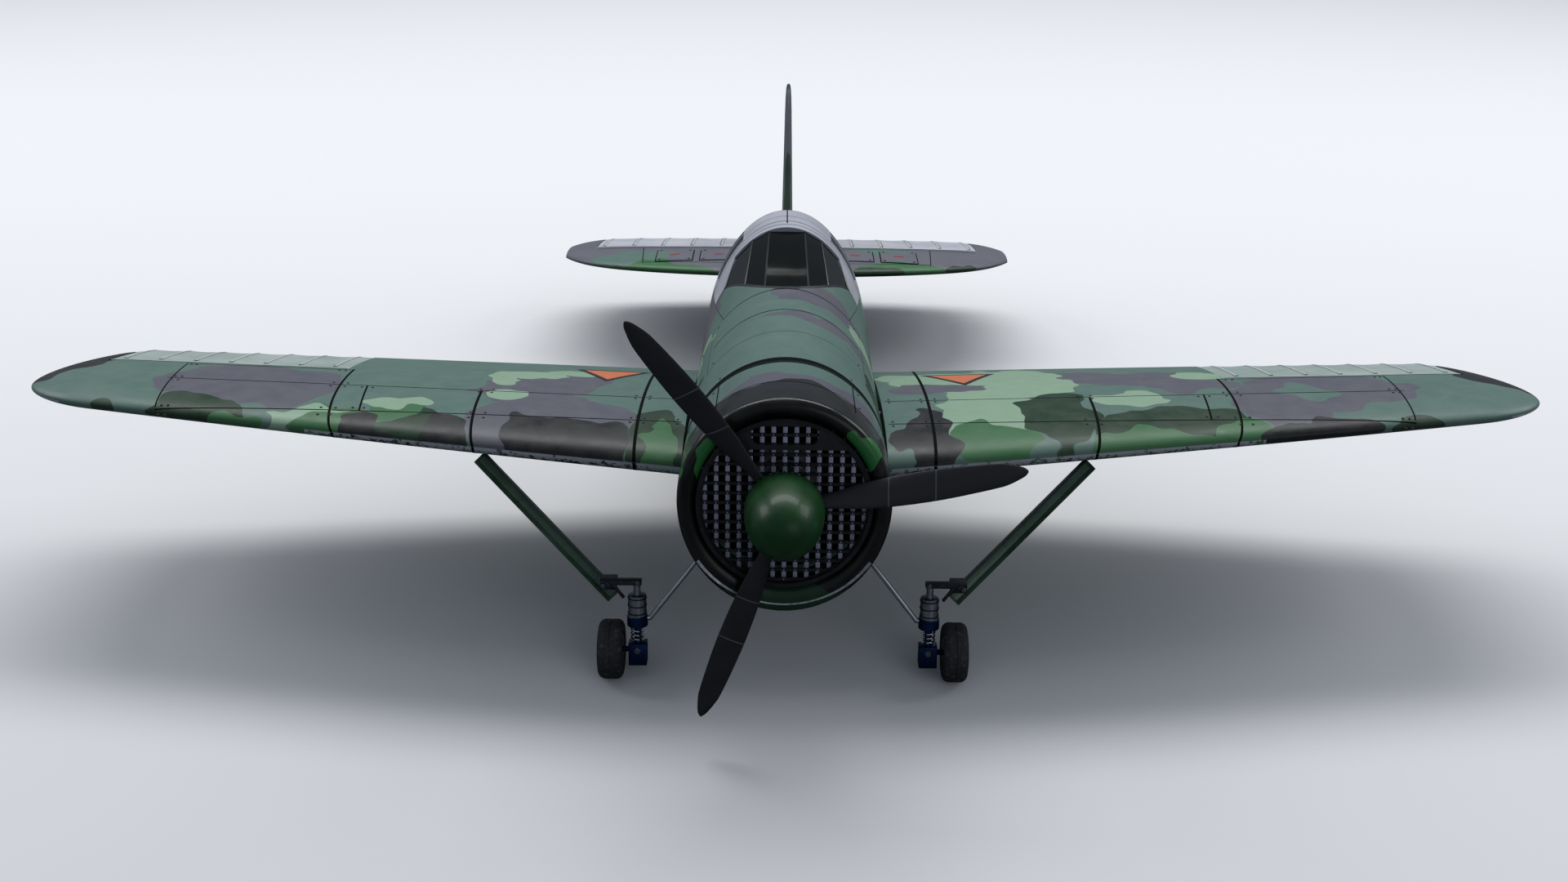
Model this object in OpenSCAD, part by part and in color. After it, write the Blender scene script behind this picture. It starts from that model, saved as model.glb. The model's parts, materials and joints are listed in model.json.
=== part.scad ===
// Radio-controlled warbird, 1.4 m span, standing tail-down on its own wheels.
// Aircraft axes used by every module: X to the right seen from the front,
// Y aft from the propeller plane, Z up from the thrust line.
// in_ground_attitude() then turns the whole machine nose-up onto its wheels.

/* [Wing] */
// Wing span from tip to tip
wing_span = 1400; // [1200:10:1600]
// Chord at the wing root
root_chord = 330; // [310:5:345]
// Distance of the root leading edge behind the propeller plane
wing_le = 102; // [98:1:110]
// Dihedral angle
dihedral = 3; // [2:0.5:4]
// Wing thickness as a share of its chord
wing_thickness = 0.13; // [0.115:0.005:0.14]
// Inner end of each aileron
aileron_in = 425; // [400:5:450]
// Outer end of each aileron
aileron_out = 655; // [600:5:655]
// Outside diameter of the wing joiner tube
tube_d = 14; // [10:1:15]

/* [Fuselage] */
// Greatest width of the fuselage
body_w = 176; // [160:2:186]
// Height of the windscreen hump above the thrust line
hump_h = 157; // [140:1:165]
// Depth of the belly below the thrust line
belly_d = 99; // [92:1:106]
// Wall of the moulded fuselage
skin = 4; // [3:0.5:5]
// Position of the tail post
tail_end = 890; // [840:5:930]
// Height of the cockpit sills
sill_h = 78; // [72:1:82]

/* [Tail] */
// Span of the tailplane
tail_span = 556; // [460:4:620]
// Height of the tailplane above the thrust line
tail_h = 50; // [44:1:54]
// Top of the fin above the thrust line
fin_top = 258; // [220:2:290]

/* [Propeller] */
// Propeller diameter
prop_d = 392; // [330:2:396]
// Spinner diameter
spinner_d = 64; // [56:1:70]
// Clock angle of the first blade
blade_angle = 9.7; // [0:0.1:119]

/* [Landing gear] */
// Tyre diameter
tyre_d = 53; // [48:1:60]
// Tyre width
tyre_w = 22; // [18:1:24]
// Distance of the wheel axles below the thrust line
axle_drop = 169; // [164:1:180]
// Distance from the centre line to each shock leg
leg_x = 128.5; // [122:0.5:136]
// Tail wheel diameter
tail_wheel_d = 24; // [20:1:26]
// Shock travel
oleo_travel = 8; // [4:1:9]

/* [Attitude] */
// Nose-up angle of the parked aircraft
ground_angle = 11; // [10:0.5:12]

/* [Hidden] */

// Clearances
fit_gap = 0.3;
run_gap = 0.05;
seam_gap = 0.8;
swing_gap = 1;

// Stations along the fuselage
cowl_front = 8;
cowl_rear = 112;
firewall_at = 118;
hatch_front = 192;
hatch_half = 71.5;
screen_base = 330;
screen_top = 445;
canopy_front = 450;
canopy_rear = 546;
deck_fade = 640;
former_t = 3;
canopy_wall = 2.5;
cowl_wall = 2.5;
half_w = body_w / 2;
far = 900;

// Fairing lines of the fuselage, each a list of [station, value]
width_line = [[0, half_w], [480, half_w], [560, 0.97 * half_w], [640, 0.82 * half_w],
    [720, 0.6 * half_w], [810, 0.34 * half_w], [tail_end, 0.12 * half_w]];
top_line = [[0, 88], [firewall_at, 92], [180, 99], [260, 106], [screen_base, 110],
    [390, 0.85 * hump_h], [screen_top, 0.98 * hump_h], [480, hump_h], [540, 0.975 * hump_h],
    [640, 0.74 * hump_h], [740, tail_h + 36], [tail_end, tail_h + 12]];
belly_line = [[0, belly_d - 4], [firewall_at, belly_d], [250, belly_d + 1], [400, 0.93 * belly_d],
    [550, 0.72 * belly_d], [700, 0.42 * belly_d], [800, 0.18 * belly_d], [tail_end, -8]];
centre_line = [[0, 0], [430, 0], [600, 12], [760, 26], [tail_end, 36]];

// Wing
wing_root_x = half_w + 0.6;
tip_x = wing_span / 2;
panel = tip_x - wing_root_x;
tip_round = 70;
hinge_share = 0.63;
nose_share = 0.047;
wing_rise = 0;
torque_rod_d = 3;
tube_at = wing_le + 0.4 * root_chord;
tube_half = 230;
tube_z = wing_rise + 8;
bolt_at = wing_le + 0.72 * root_chord;

// Tail
elevator_hinge = tail_end - 70;
elevator_axis_h = tail_h + 2.2;
elevator_nose = 0.0425;
tail_seat_end = elevator_hinge - 12;
elevator_in = 30;
elevator_out = tail_span / 2 - 38;
joiner_d = 3;
rudder_hinge = tail_end + 8;
rudder_nose = 5.5;
rudder_foot = 12;
rudder_cap = 14;

// Propeller and motor stations
spinner_rear = -9;
motor_front = 34;
motor_len = 28;
stator_len = 6;
motor_d = 42;
shaft_d = 6;
spinner_len = 62;
spinner_wall = 1.5;
motor_rear = motor_front + motor_len;

// Main legs
gear_at = 100;
bar_top = -axle_drop + 66;
bar_t = 4;
cylinder_top = bar_top - 14;
cylinder_low = cylinder_top - 19;
collar_low = cylinder_low - 10;
block_top = collar_low - 2 * oleo_travel;
block_low = block_top - 20;
cylinder_d = 16;
piston_d = 6;
axle_d = 5;
wheel_in = 141 - 128.5 + leg_x;
wheel_mid = wheel_in + tyre_w / 2;
hub_d = 27;

// Ground line: the main tyres and the tail wheel both touch it
hub_height = tyre_d / 2 + gear_at * sin(ground_angle) + axle_drop * cos(ground_angle);
tail_axle_at = 856;
tail_axle_h = (tail_wheel_d / 2 - hub_height + tail_axle_at * sin(ground_angle))
    / cos(ground_angle);
steer_at = tail_axle_at - 8;
rudder_te = rudder_hinge + 62;
mid_y = ((spinner_rear - spinner_len + rudder_te - 10) * cos(ground_angle)
    + (fin_top - 34) * sin(ground_angle)) / 2;

module in_ground_attitude() {
    translate([0, -mid_y, hub_height])
        rotate([-ground_angle, 0, 0])
            children();
}

// Smooth curve through a list of [station, value]
function seg(t, x, i = 0) = (i >= len(t) - 2 || x < t[i + 1][0]) ? i : seg(t, x, i + 1);
function smooth(t, x) =
    let (i = seg(t, x), p0 = t[max(i - 1, 0)], p1 = t[i], p2 = t[i + 1],
         p3 = t[min(i + 2, len(t) - 1)], h = p2[0] - p1[0], s = (x - p1[0]) / h,
         m1 = (p2[1] - p0[1]) / (p2[0] - p0[0]) * h, m2 = (p3[1] - p1[1]) / (p3[0] - p1[0]) * h)
    (2 * s^3 - 3 * s^2 + 1) * p1[1] + (s^3 - 2 * s^2 + s) * m1
    + (3 * s^2 - 2 * s^3) * p2[1] + (s^3 - s^2) * m2;

// Closed solid through rings of equal point count
module loft(rings) {
    n = len(rings[0]);
    m = len(rings);
    polyhedron([for (r = rings) each r], concat(
        [[for (i = [0:n - 1]) i]],
        [[for (i = [n - 1:-1:0]) (m - 1) * n + i]],
        [for (k = [0:m - 2], i = [0:n - 1])
            [k * n + i, (k + 1) * n + i, (k + 1) * n + (i + 1) % n, k * n + (i + 1) % n]]));
}

// Moulded skins are free-form: zeros keep their size and their cuts join them as one mesh
module moulded() resize([0, 0, 0]) children();

// A rod or tube set between two points, along +Z of its children
module along(p, q) {
    v = q - p;
    translate(p)
        rotate([0, acos(v[2] / norm(v)), atan2(v[1], v[0])])
            children();
}

module mirrored(side) {
    mirror([side < 0 ? 1 : 0, 0, 0])
        children();
}

// ---- fuselage ----

// One fuselage section: an upper and a lower half ellipse on the same centre
function body_ring(y, off = 0, n = 40) =
    let (w = smooth(width_line, y) + off, c = smooth(centre_line, y),
         t = smooth(top_line, y) + off - c, b = smooth(belly_line, y) + off + c)
    [for (i = [0:n - 1]) let (q = 360 * i / n)
        [w * sin(q), y, c + cos(q) * (cos(q) > 0 ? t : b)]];

module body_solid(off = 0, y0 = firewall_at, y1 = tail_end, step = 32) {
    count = ceil((y1 - y0) / step);
    loft([for (k = [0:count]) body_ring(y0 + (y1 - y0) * k / count, off)]);
}

module body_skin(wall, y0, y1, off = 0, step = 32) {
    difference() {
        body_solid(off, y0, y1, step);
        body_solid(off - wall, y0 - 1, y1 + 1, step);
    }
}

// Hollow inside the moulded fuselage
module inner_space(gap = 0) body_solid(-skin - canopy_wall - gap, firewall_at - 1, tail_end - 14);

module box_zone(y0, y1, z0, half = far, z1 = far) {
    translate([-half, y0, z0])
        cube([2 * half, y1 - y0, z1 - z0]);
}

module fuselage_shell() color("darkolivegreen") moulded() {
    difference() {
        union() {
            difference() {
                body_solid();
                box_zone(canopy_rear, deck_fade + 60, sill_h);
            }
            intersection() {
                body_solid(-canopy_wall - seam_gap);
                box_zone(canopy_rear, deck_fade + 61, sill_h - 1);
            }
            translate([-4, tail_end - 8, rudder_foot - 9])
                cube([8, 20, 8]);
        }
        inner_space();
        box_zone(hatch_front, screen_base + 1, 0, hatch_half);
        box_zone(screen_base, canopy_rear, sill_h);
        wing_tube_bore();
        for (s = [1, -1]) mirrored(s) {
            wing_bolt_bore();
            torque_rod_bore();
        }
        intersection() {
            tailplane_solid(fit_gap);
            box_zone(firewall_at, tail_seat_end + fit_gap, -far);
        }
        elevator_rod_bore();
        translate([0, steer_at, -far])
            cylinder(d = post_d + 2 * fit_gap, h = far + 20, $fn = 40);
        rudder_pin_bore();
    }
}

// Bulkhead plates that fit inside the moulded skin
module bulkhead(y, top, hole_w, hole_z0, hole_z1) {
    moulded() difference() {
        intersection() {
            inner_space(fit_gap);
            box_zone(y, y + former_t, -far, far, top);
        }
        translate([-hole_w / 2, y - 1, hole_z0])
            cube([hole_w, former_t + 2, hole_z1 - hole_z0]);
    }
}

module fuselage_formers() color("burlywood") {
    bulkhead(screen_base, 70, 90, -50, 20);
    bulkhead(canopy_rear + 4, sill_h + 40, 60, -30, 10);
    bulkhead(690, 90, 30, -10, 24);
}

// Front plate with four blocks that carry the cowl
module firewall() color("burlywood") moulded() {
    difference() {
        union() {
            intersection() {
                inner_space(fit_gap);
                box_zone(firewall_at, firewall_at + 4, -far);
            }
            intersection() {
                union() {
                    body_skin(8, firewall_at - 18, firewall_at - fit_gap, -cowl_wall - fit_gap);
                    body_skin(4, firewall_at - 18, firewall_at + 1, -skin - canopy_wall - fit_gap);
                }
                for (a = [45:90:359]) rotate([0, a, 0])
                    translate([0, firewall_at - 20, -9])
                        cube([far, 30, 18]);
            }
        }
        for (a = [45:90:359]) rotate([-90, 0, 0]) rotate(a)
            translate([22, 0, 0])
                cylinder(d = 3.4, h = firewall_at + 9, $fn = 24);
        translate([0, 0, -62])
            rotate([-90, 0, 0])
                cylinder(d = 34, h = firewall_at + 9, $fn = 32);
    }
}

// ---- nose ----

cowl_inset = [[cowl_front, -8], [cowl_front + 5, -4], [cowl_front + 16, -1.5],
    [cowl_front + 40, -0.4], [cowl_rear, 0]];

module cowl_solid(off, y0, y1) {
    stations = [for (y = [y0, cowl_front + 2, cowl_front + 5, cowl_front + 10, cowl_front + 18,
        cowl_front + 32, cowl_front + 60, y1]) if (y >= y0) y];
    loft([for (y = stations) body_ring(y, off + smooth(cowl_inset, max(y, cowl_front)), 48)]);
}

module engine_cowl() color("darkslategray") moulded() {
    difference() {
        cowl_solid(0, cowl_front, cowl_rear);
        difference() {
            cowl_solid(-cowl_wall, cowl_front - 3, cowl_rear + 2);
            box_zone(cowl_front - 9, cowl_front + 4, -far);
        }
        translate([0, cowl_front - 4, 0])
            rotate([-90, 0, 0])
                cylinder(r = 72, h = 12, $fn = 64);
    }
}

// Intake face with a slotted upper lip, and the lattice behind it
module cowl_grille() color("slategray") {
    face_r = 71.6;
    face_t = 4;
    slat_w = 3;
    translate([0, cowl_front + face_t, 0])
        rotate([90, 0, 0]) {
            linear_extrude(face_t)
                difference() {
                    circle(face_r, $fn = 96);
                    difference() {
                        circle(face_r - 3.5, $fn = 96);
                        translate([-face_r, 46])
                            square([2 * face_r, 40]);
                    }
                    for (x = [-19, 19]) translate([x, 58])
                        circle(8, $fn = 32);
                    translate([-19, 50])
                        square([38, 16]);
                }
        }
    translate([0, cowl_front + face_t + 7, 0])
        rotate([90, 0, 0])
            difference() {
                intersection() {
                    cylinder(r = face_r - 1, h = 7, $fn = 96);
                    union() {
                        for (i = [-7:7]) translate([i * 9.2 - slat_w / 2, -far / 2, 3])
                            cube([slat_w, far, 4]);
                        for (i = [-8:8]) translate([-far / 2, i * 8.2 - 1.2, 2])
                            cube([far, 2.4, 2]);
                        difference() {
                            cylinder(r = face_r, h = 7, $fn = 96);
                            translate([0, 0, -1])
                                cylinder(r = face_r - 4, h = 9, $fn = 96);
                        }
                    }
                }
                translate([0, 0, -1])
                    cylinder(d = motor_d / 2, h = 9, $fn = 48);
            }
}

module y_cylinder(y0, y1, d, fn = 64) {
    translate([0, y0, 0])
        rotate([-90, 0, 0])
            cylinder(d = d, h = y1 - y0, $fn = fn);
}

module motor_mount() color("silver") {
    plate = motor_rear + stator_len;
    difference() {
        union() {
            y_cylinder(plate, plate + 3, motor_d + 14);
            for (a = [45:90:359]) rotate([0, a, 0])
                translate([22, plate + 1, 0])
                    rotate([-90, 0, 0])
                        cylinder(d = 8, h = firewall_at - plate - 1, $fn = 32);
        }
        y_cylinder(plate - 1, plate + 4, 12);
    }
}

module motor_stator() color("dimgray") {
    difference() {
        union() {
            y_cylinder(motor_rear + fit_gap, motor_rear + stator_len, motor_d - 4);
            y_cylinder(motor_front + 4, motor_rear + 1, motor_d - 12);
        }
        y_cylinder(motor_front, motor_rear + stator_len + 1, shaft_d + 2 * run_gap);
    }
}

module motor_bell() color("gray") {
    difference() {
        y_cylinder(motor_front, motor_rear, motor_d);
        y_cylinder(motor_front + 3, motor_rear + 1, motor_d - 5);
        for (a = [0:60:359]) rotate([0, a, 0])
            translate([13, motor_front - 1, 0])
                rotate([-90, 0, 0])
                    cylinder(d = 6, h = 5, $fn = 24);
    }
    y_cylinder(spinner_rear - 18, motor_front, shaft_d);
    y_cylinder(motor_front, motor_rear + stator_len - 1, shaft_d);
}

module spinner_backplate() color("darkgreen") {
    teeth = 36;
    difference() {
        union() {
            y_cylinder(spinner_rear, spinner_rear + 3, spinner_d);
            for (i = [0:teeth - 1]) rotate([0, i * 360 / teeth, 0])
                translate([spinner_d / 2 - 1, spinner_rear, -1])
                    cube([2, 3, 2]);
        }
        y_cylinder(spinner_rear - 1, spinner_rear + 4, shaft_d + 2 * run_gap);
    }
}

// Hollow dome, slightly fuller than a half ellipse, closed behind by the backplate
function dome_curve(r, length) = [for (q = [0:5:90]) [r * pow(cos(q), 0.84), length * pow(sin(q), 0.84)]];

module spinner() color("darkgreen")
    translate([0, spinner_rear, 0])
        rotate([90, 0, 0])
            rotate_extrude($fn = 96)
                difference() {
                    polygon(concat([[0, 0]], dome_curve(spinner_d / 2, spinner_len)));
                    polygon(concat([[0, -1]], [[spinner_d / 2 - spinner_wall, -1]],
                        dome_curve(spinner_d / 2 - spinner_wall, spinner_len - spinner_wall)));
                }

module prop_nut() color("goldenrod") {
    difference() {
        y_cylinder(spinner_rear - 8, spinner_rear, 12, 6);
        y_cylinder(spinner_rear - 9, spinner_rear + 1, shaft_d + 2 * run_gap);
    }
}

// Blade section: a thin rounded aerofoil, turned by the pitch angle
function blade_ring(r, chord, thick, pitch) =
    [for (q = [0:30:330]) let (c = -chord / 2 * cos(q), t = thick / 2 * sin(q) + 0.25 * thick * sin(q / 2)^2)
        [r, c * sin(pitch) + t * cos(pitch), c * cos(pitch) - t * sin(pitch)]];

module propeller() color("black") moulded() {
    blade_pitch = 250;
    r = prop_d / 2;
    chord_line = [[10, 12], [0.17 * r, 13], [0.35 * r, 22], [0.6 * r, 25], [0.82 * r, 21],
        [0.96 * r, 16]];
    difference() {
        union() {
            y_cylinder(spinner_rear + 3, 9, 26);
            for (i = [0:2]) rotate([0, -blade_angle - 120 * i, 0])
                loft(concat(
                    [for (k = [0:7]) let (p = 10 + (0.96 * r - 10) * k / 7)
                        blade_ring(p, smooth(chord_line, p), 8 - 5.5 * p / r,
                            min(atan(blade_pitch / (2 * PI * p)), 55))],
                    [blade_ring(0.985 * r, 11.5, 2.2, 11.5)],
                    [blade_ring(r, 5, 1.6, 11.5)]));
        }
        y_cylinder(spinner_rear, 10, shaft_d + 0.2, 32);
    }
}

// ---- equipment inside the fuselage ----

tray_z = -58;

module speed_controller() color("royalblue")
    translate([-18, firewall_at + 4, -20])
        cube([36, 14, 56]);

module battery() color("orange")
    translate([-24, 170, tray_z + 3 + run_gap])
        cube([48, 128, 44]);

module battery_tray() color("tan") {
    tray_rear = screen_base;
    difference() {
        translate([-36, firewall_at + 4, tray_z])
            cube([72, tray_rear - firewall_at - 4, 3]);
        for (y = [190, 260], s = [-1, 1]) translate([s * 29 - 2, y, tray_z - 1])
            cube([4, 22, 5]);
    }
}

module receiver() color("black")
    translate([-14, 303, tray_z + 3])
        cube([28, 25, 14]);

// Servo case with its output boss; all four are the same
module servo() {
    union() {
        cube([12, 23, 22]);
        translate([0, -4.5, 15])
            cube([12, 32, 2]);
        translate([6, 6, 22])
            cylinder(d = 11, h = 4, $fn = 32);
    }
}

module radio_servos() color("dimgray")
    for (x = [-46, -18, 6, 34]) translate([x, 366, servo_deck])
        servo();

servo_deck = -40;

module top_hatch() color("seagreen") moulded() {
    intersection() {
        body_skin(skin, hatch_front + seam_gap, screen_base - seam_gap, 0, 20);
        box_zone(0, far, 0, hatch_half - seam_gap);
    }
}

// ---- cockpit ----

module cockpit_tub() color("darkslategray") {
    y0 = screen_base + former_t;
    y1 = canopy_rear + 4;
    difference() {
        translate([-52, y0, 14])
            cube([104, y1 - y0, sill_h - 20]);
        translate([-49.5, y0 - 1, 17])
            cube([99, y1 - y0 + 2, sill_h]);
    }
    translate([-52, y0, servo_deck - 3])
        cube([104, 74, 3]);
    for (x = [-52, 49]) translate([x, y0, servo_deck])
        cube([3, 20, 54]);
}

module instrument_panel() color("black") {
    panel_y = 405;
    difference() {
        translate([-49.2, panel_y, 17])
            cube([98.4, 3, sill_h - 10]);
        for (x = [-30, -10, 10, 30]) translate([x, panel_y + 1.5, 68])
            rotate([-90, 0, 0])
                cylinder(d = 14, h = 3, $fn = 32);
    }
}

module pilot_seat() color("sienna") {
    difference() {
        translate([-22, 470, 17])
            cube([44, 44, 62]);
        translate([-19, 467, 32])
            cube([38, 41, 60]);
    }
}

// Panes of the windscreen: one in front and one on each side
module screen_panes(grow = 0) {
    for (x = [-1, 0, 1]) {
        half = (x == 0 ? 19 : 14) + grow;
        translate([x * 38 - half, screen_base + 5 - grow, sill_h + 5 - grow])
            cube([2 * half, screen_top - screen_base - 14 + 2 * grow, far]);
    }
}

module canopy_panes(grow = 0) {
    pane = (canopy_rear - canopy_front - 26) / 2;
    for (i = [0, 1], s = [-1, 1]) mirrored(s)
        translate([22 - grow, canopy_front + 10 + i * (pane + 6) - grow, sill_h + 8 - grow])
            cube([far, pane + 2 * grow, 48 + 2 * grow]);
}

module windscreen_frame() color("darkseagreen") moulded() {
    difference() {
        intersection() {
            body_skin(canopy_wall, screen_base + seam_gap, screen_top, 0, 20);
            box_zone(0, far, sill_h + fit_gap);
        }
        screen_panes();
    }
}

module windscreen_glass() color("black", 0.6) moulded() {
    intersection() {
        body_skin(1.2, screen_base + seam_gap, screen_top, -canopy_wall - 0.1, 20);
        screen_panes(2.5);
    }
}

module sliding_canopy() color("darkseagreen") moulded() {
    difference() {
        intersection() {
            body_skin(canopy_wall, screen_top + seam_gap, canopy_rear - seam_gap, 0, 20);
            box_zone(0, far, sill_h + fit_gap);
        }
        canopy_panes();
    }
}

module canopy_glass() color("black", 0.6) moulded() {
    intersection() {
        body_skin(0.5, screen_top + seam_gap, canopy_rear - seam_gap, -canopy_wall - 0.2, 20);
        canopy_panes(2);
    }
}

// ---- wing ----

// Aerofoil: x is the share of the chord, value the half thickness share
function foil(x, t) = 5 * t * (0.2969 * sqrt(x) - 0.126 * x - 0.3516 * x^2 + 0.2843 * x^3 - 0.1015 * x^4);
foil_cuts = [1, 0.92, 0.8, 0.65, 0.5, 0.35, 0.22, 0.12, 0.05, 0.015, 0];

function wing_share(x) = (x - wing_root_x) / panel;
function tip_curl(x) = x > tip_x - tip_round
    ? 1 - sqrt(max(0, 1 - ((x - tip_x + tip_round) / tip_round)^2)) : 0;
function wing_front(x) = let (s = wing_share(x)) wing_le + 68 * s + 20 * s^2 + 48 * tip_curl(x);
function wing_rear(x) = let (s = wing_share(x))
    wing_le + root_chord - 46 * s - 12 * s^2 - 128 * tip_curl(x);
function wing_z(x) = wing_rise + (x - wing_root_x) * tan(dihedral);
function wing_t(x) = wing_thickness - 0.02 * wing_share(x);

function foil_ring(x, y0, y1, z, t, grow = 0) =
    let (c = y1 - y0)
    concat(
        [for (s = foil_cuts) [x, y0 - grow + (c + 2 * grow) * s, z + 0.012 * c * sin(180 * s)
            + c * foil(s, t) + grow]],
        [for (i = [len(foil_cuts) - 2:-1:1]) let (s = foil_cuts[i])
            [x, y0 - grow + (c + 2 * grow) * s, z + 0.012 * c * sin(180 * s)
                - c * foil(s, t) - grow]]);

module wing_solid(grow = 0) {
    inner = [for (k = [0:9]) wing_root_x + (panel - tip_round) * k / 9];
    outer = [for (q = [14, 30, 46, 62, 76, 86]) tip_x - tip_round + tip_round * sin(q)];
    loft([for (x = concat(inner, outer)) foil_ring(x, wing_front(x), wing_rear(x), wing_z(x),
        wing_t(x), grow)]);
}

// Hinge line of the aileron, at a set share of the chord
function hinge_point(x) = [x, wing_front(x) + hinge_share * (wing_rear(x) - wing_front(x)),
    wing_z(x) + 0.006 * (wing_rear(x) - wing_front(x))];
hinge_a = hinge_point(aileron_in);
hinge_b = hinge_point(aileron_out);
hinge_dir = (hinge_b - hinge_a) / norm(hinge_b - hinge_a);
rod_inner = hinge_a - hinge_dir * (aileron_in - half_w + 16) / hinge_dir[0];

module on_hinge(x0, x1) {
    p = hinge_a + hinge_dir * (x0 - aileron_in) / hinge_dir[0];
    q = hinge_a + hinge_dir * (x1 - aileron_in) / hinge_dir[0];
    along(p, q)
        children();
}

// Everything aft of a rounded nose on the hinge line
module aileron_zone(grow = 0) {
    loft([for (x = [aileron_in - grow, aileron_out + grow])
        let (p = hinge_a + hinge_dir * (x - aileron_in) / hinge_dir[0],
             r = nose_share * (wing_rear(x) - wing_front(x)) + grow)
        concat([[x, p[1], -far], [x, far, -far], [x, far, far], [x, p[1], far]],
            [for (q = [0:15:180]) [x, p[1] - r * sin(q), p[2] + r * cos(q)]])]);
}

module torque_rod_bore() {
    on_hinge(half_w - 16, aileron_out + 14)
        cylinder(d = torque_rod_d + 0.3, h = aileron_out - half_w + 31, $fn = 24);
}

module wing_tube_bore() {
    translate([-tube_half - 1, tube_at, tube_z])
        rotate([0, 90, 0])
            cylinder(d = tube_d + 0.3, h = 2 * tube_half + 2, $fn = 40);
}

module wing_bolt_bore() {
    translate([half_w - 20, bolt_at, wing_rise])
        rotate([0, 90, 0])
            cylinder(d = 4.3, h = 60, $fn = 24);
}

module wing(side) color("seagreen") mirrored(side) moulded() {
    difference() {
        wing_solid();
        aileron_zone(swing_gap);
        torque_rod_bore();
        wing_tube_bore();
        wing_bolt_bore();
    }
}

module aileron(side) color("mediumseagreen") mirrored(side) moulded() {
    difference() {
        intersection() {
            wing_solid();
            aileron_zone();
        }
        torque_rod_bore();
    }
}

// Steel rod on the hinge line: turned inside the fuselage by a lever, it carries the aileron
module aileron_torque_rod(side) color("silver") mirrored(side) {
    length = norm(hinge_b - rod_inner) + 10;
    along(rod_inner, hinge_b)
        union() {
            cylinder(d = torque_rod_d, h = length, $fn = 32);
            translate([-2, -2, 0])
                cube([4, 4, 4]);
            translate([0, -1, 0])
                cube([14, 2, 4]);
        }
}

module wing_tube() color("black")
    translate([-tube_half, tube_at, tube_z])
        rotate([0, 90, 0])
            difference() {
                cylinder(d = tube_d, h = 2 * tube_half, $fn = 48);
                translate([0, 0, -1])
                    cylinder(d = tube_d - 3, h = 2 * tube_half + 2, $fn = 48);
            }

module wing_bolts() color("white")
    for (s = [1, -1]) mirrored(s)
        translate([half_w - skin - canopy_wall - 5, bolt_at, wing_rise])
            rotate([0, 90, 0]) {
                cylinder(d = 4, h = 34, $fn = 32);
                translate([0, 0, 0])
                    cylinder(d = 9, h = 4, $fn = 6);
            }

// ---- tail ----

function tail_front(x) = let (s = x / (tail_span / 2)) tail_end - 184 + 56 * s^2 + 40 * pow(s, 10);
function tail_rear(x) = let (s = x / (tail_span / 2)) tail_end + 60 - 14 * s^2 - 56 * pow(s, 12);

module tailplane_solid(grow = 0) {
    half = tail_span / 2;
    stations = [for (s = [-1:0.125:1]) sign(s) * half * sin(90 * abs(s))];
    loft([for (x = stations) foil_ring(x, tail_front(abs(x)), tail_rear(abs(x)), tail_h, 0.09, grow)]);
}

// Everything aft of a rounded nose on the elevator hinge line
module elevator_zone(grow = 0) {
    loft([for (x = [elevator_in - grow, 85, 140, 190, elevator_out + grow])
        let (r = elevator_nose * (tail_rear(x) - tail_front(x)) + grow)
        concat([[x, elevator_hinge, -far], [x, far + 100, -far], [x, far + 100, far],
            [x, elevator_hinge, far]],
            [for (q = [0:15:180]) [x, elevator_hinge - r * sin(q), elevator_axis_h + r * cos(q)]])]);
}

module elevator_rod_bore() {
    translate([-elevator_out, elevator_hinge, elevator_axis_h])
        rotate([0, 90, 0])
            cylinder(d = joiner_d + 0.3, h = 2 * elevator_out, $fn = 24);
}

module tailplane() color("seagreen") moulded() {
    difference() {
        tailplane_solid();
        for (s = [1, -1]) mirrored(s)
            elevator_zone(swing_gap);
        box_zone(tail_seat_end, far + 100, -far, elevator_in + 3);
        elevator_rod_bore();
    }
}

module elevator(side) color("lightgray") mirrored(side) moulded() {
    difference() {
        intersection() {
            tailplane_solid();
            elevator_zone();
        }
        elevator_rod_bore();
    }
}

module elevator_joiner() color("silver") {
    reach = elevator_in + 30;
    translate([-reach, elevator_hinge, elevator_axis_h])
        rotate([0, 90, 0])
            cylinder(d = joiner_d, h = 2 * reach, $fn = 32);
}

// Small screwed covers on top of the tailplane
module tail_covers() color("gray")
    for (s = [1, -1], x = [84, 138]) mirrored(s)
        translate([x, 0, 0])
            moulded() intersection() {
                difference() {
                    translate([-x, 0, 0])
                        tailplane_solid(0.9);
                    translate([-x, 0, 0])
                        tailplane_solid(0.3);
                }
                translate([-22, elevator_hinge - 80, tail_h])
                    cube([44, 48, 60]);
            }

function fin_share(z) = max(0, (z - tail_h) / (fin_top - tail_h));
function fin_front(z) = tail_end - 100 + 58 * fin_share(z)^1.5;

function fin_ring(z, y0, y1, half) =
    [for (p = [[0, 0], [0.04, 0.45], [0.15, 0.85], [0.35, 1], [0.7, 0.75], [1, 0.18], [1, -0.18],
        [0.7, -0.75], [0.35, -1], [0.15, -0.85], [0.04, -0.45]])
        [half * p[1], y0 + (y1 - y0) * p[0], z]];

module fin_solid(z0) {
    top = fin_top;
    heights = concat([for (k = [0:5]) z0 + (top - 30 - z0) * k / 5], [top - 14, top - 5, top]);
    loft([for (z = heights) let (s = max(0, (z - top + 30) / 30), c = 1 - sqrt(max(0, 1 - s^2)))
        fin_ring(z, fin_front(z) + 30 * c, rudder_te - 12 * fin_share(z) - 34 * c,
            7.5 - 3.8 * fin_share(z) - 1.5 * c)]);
}

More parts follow.
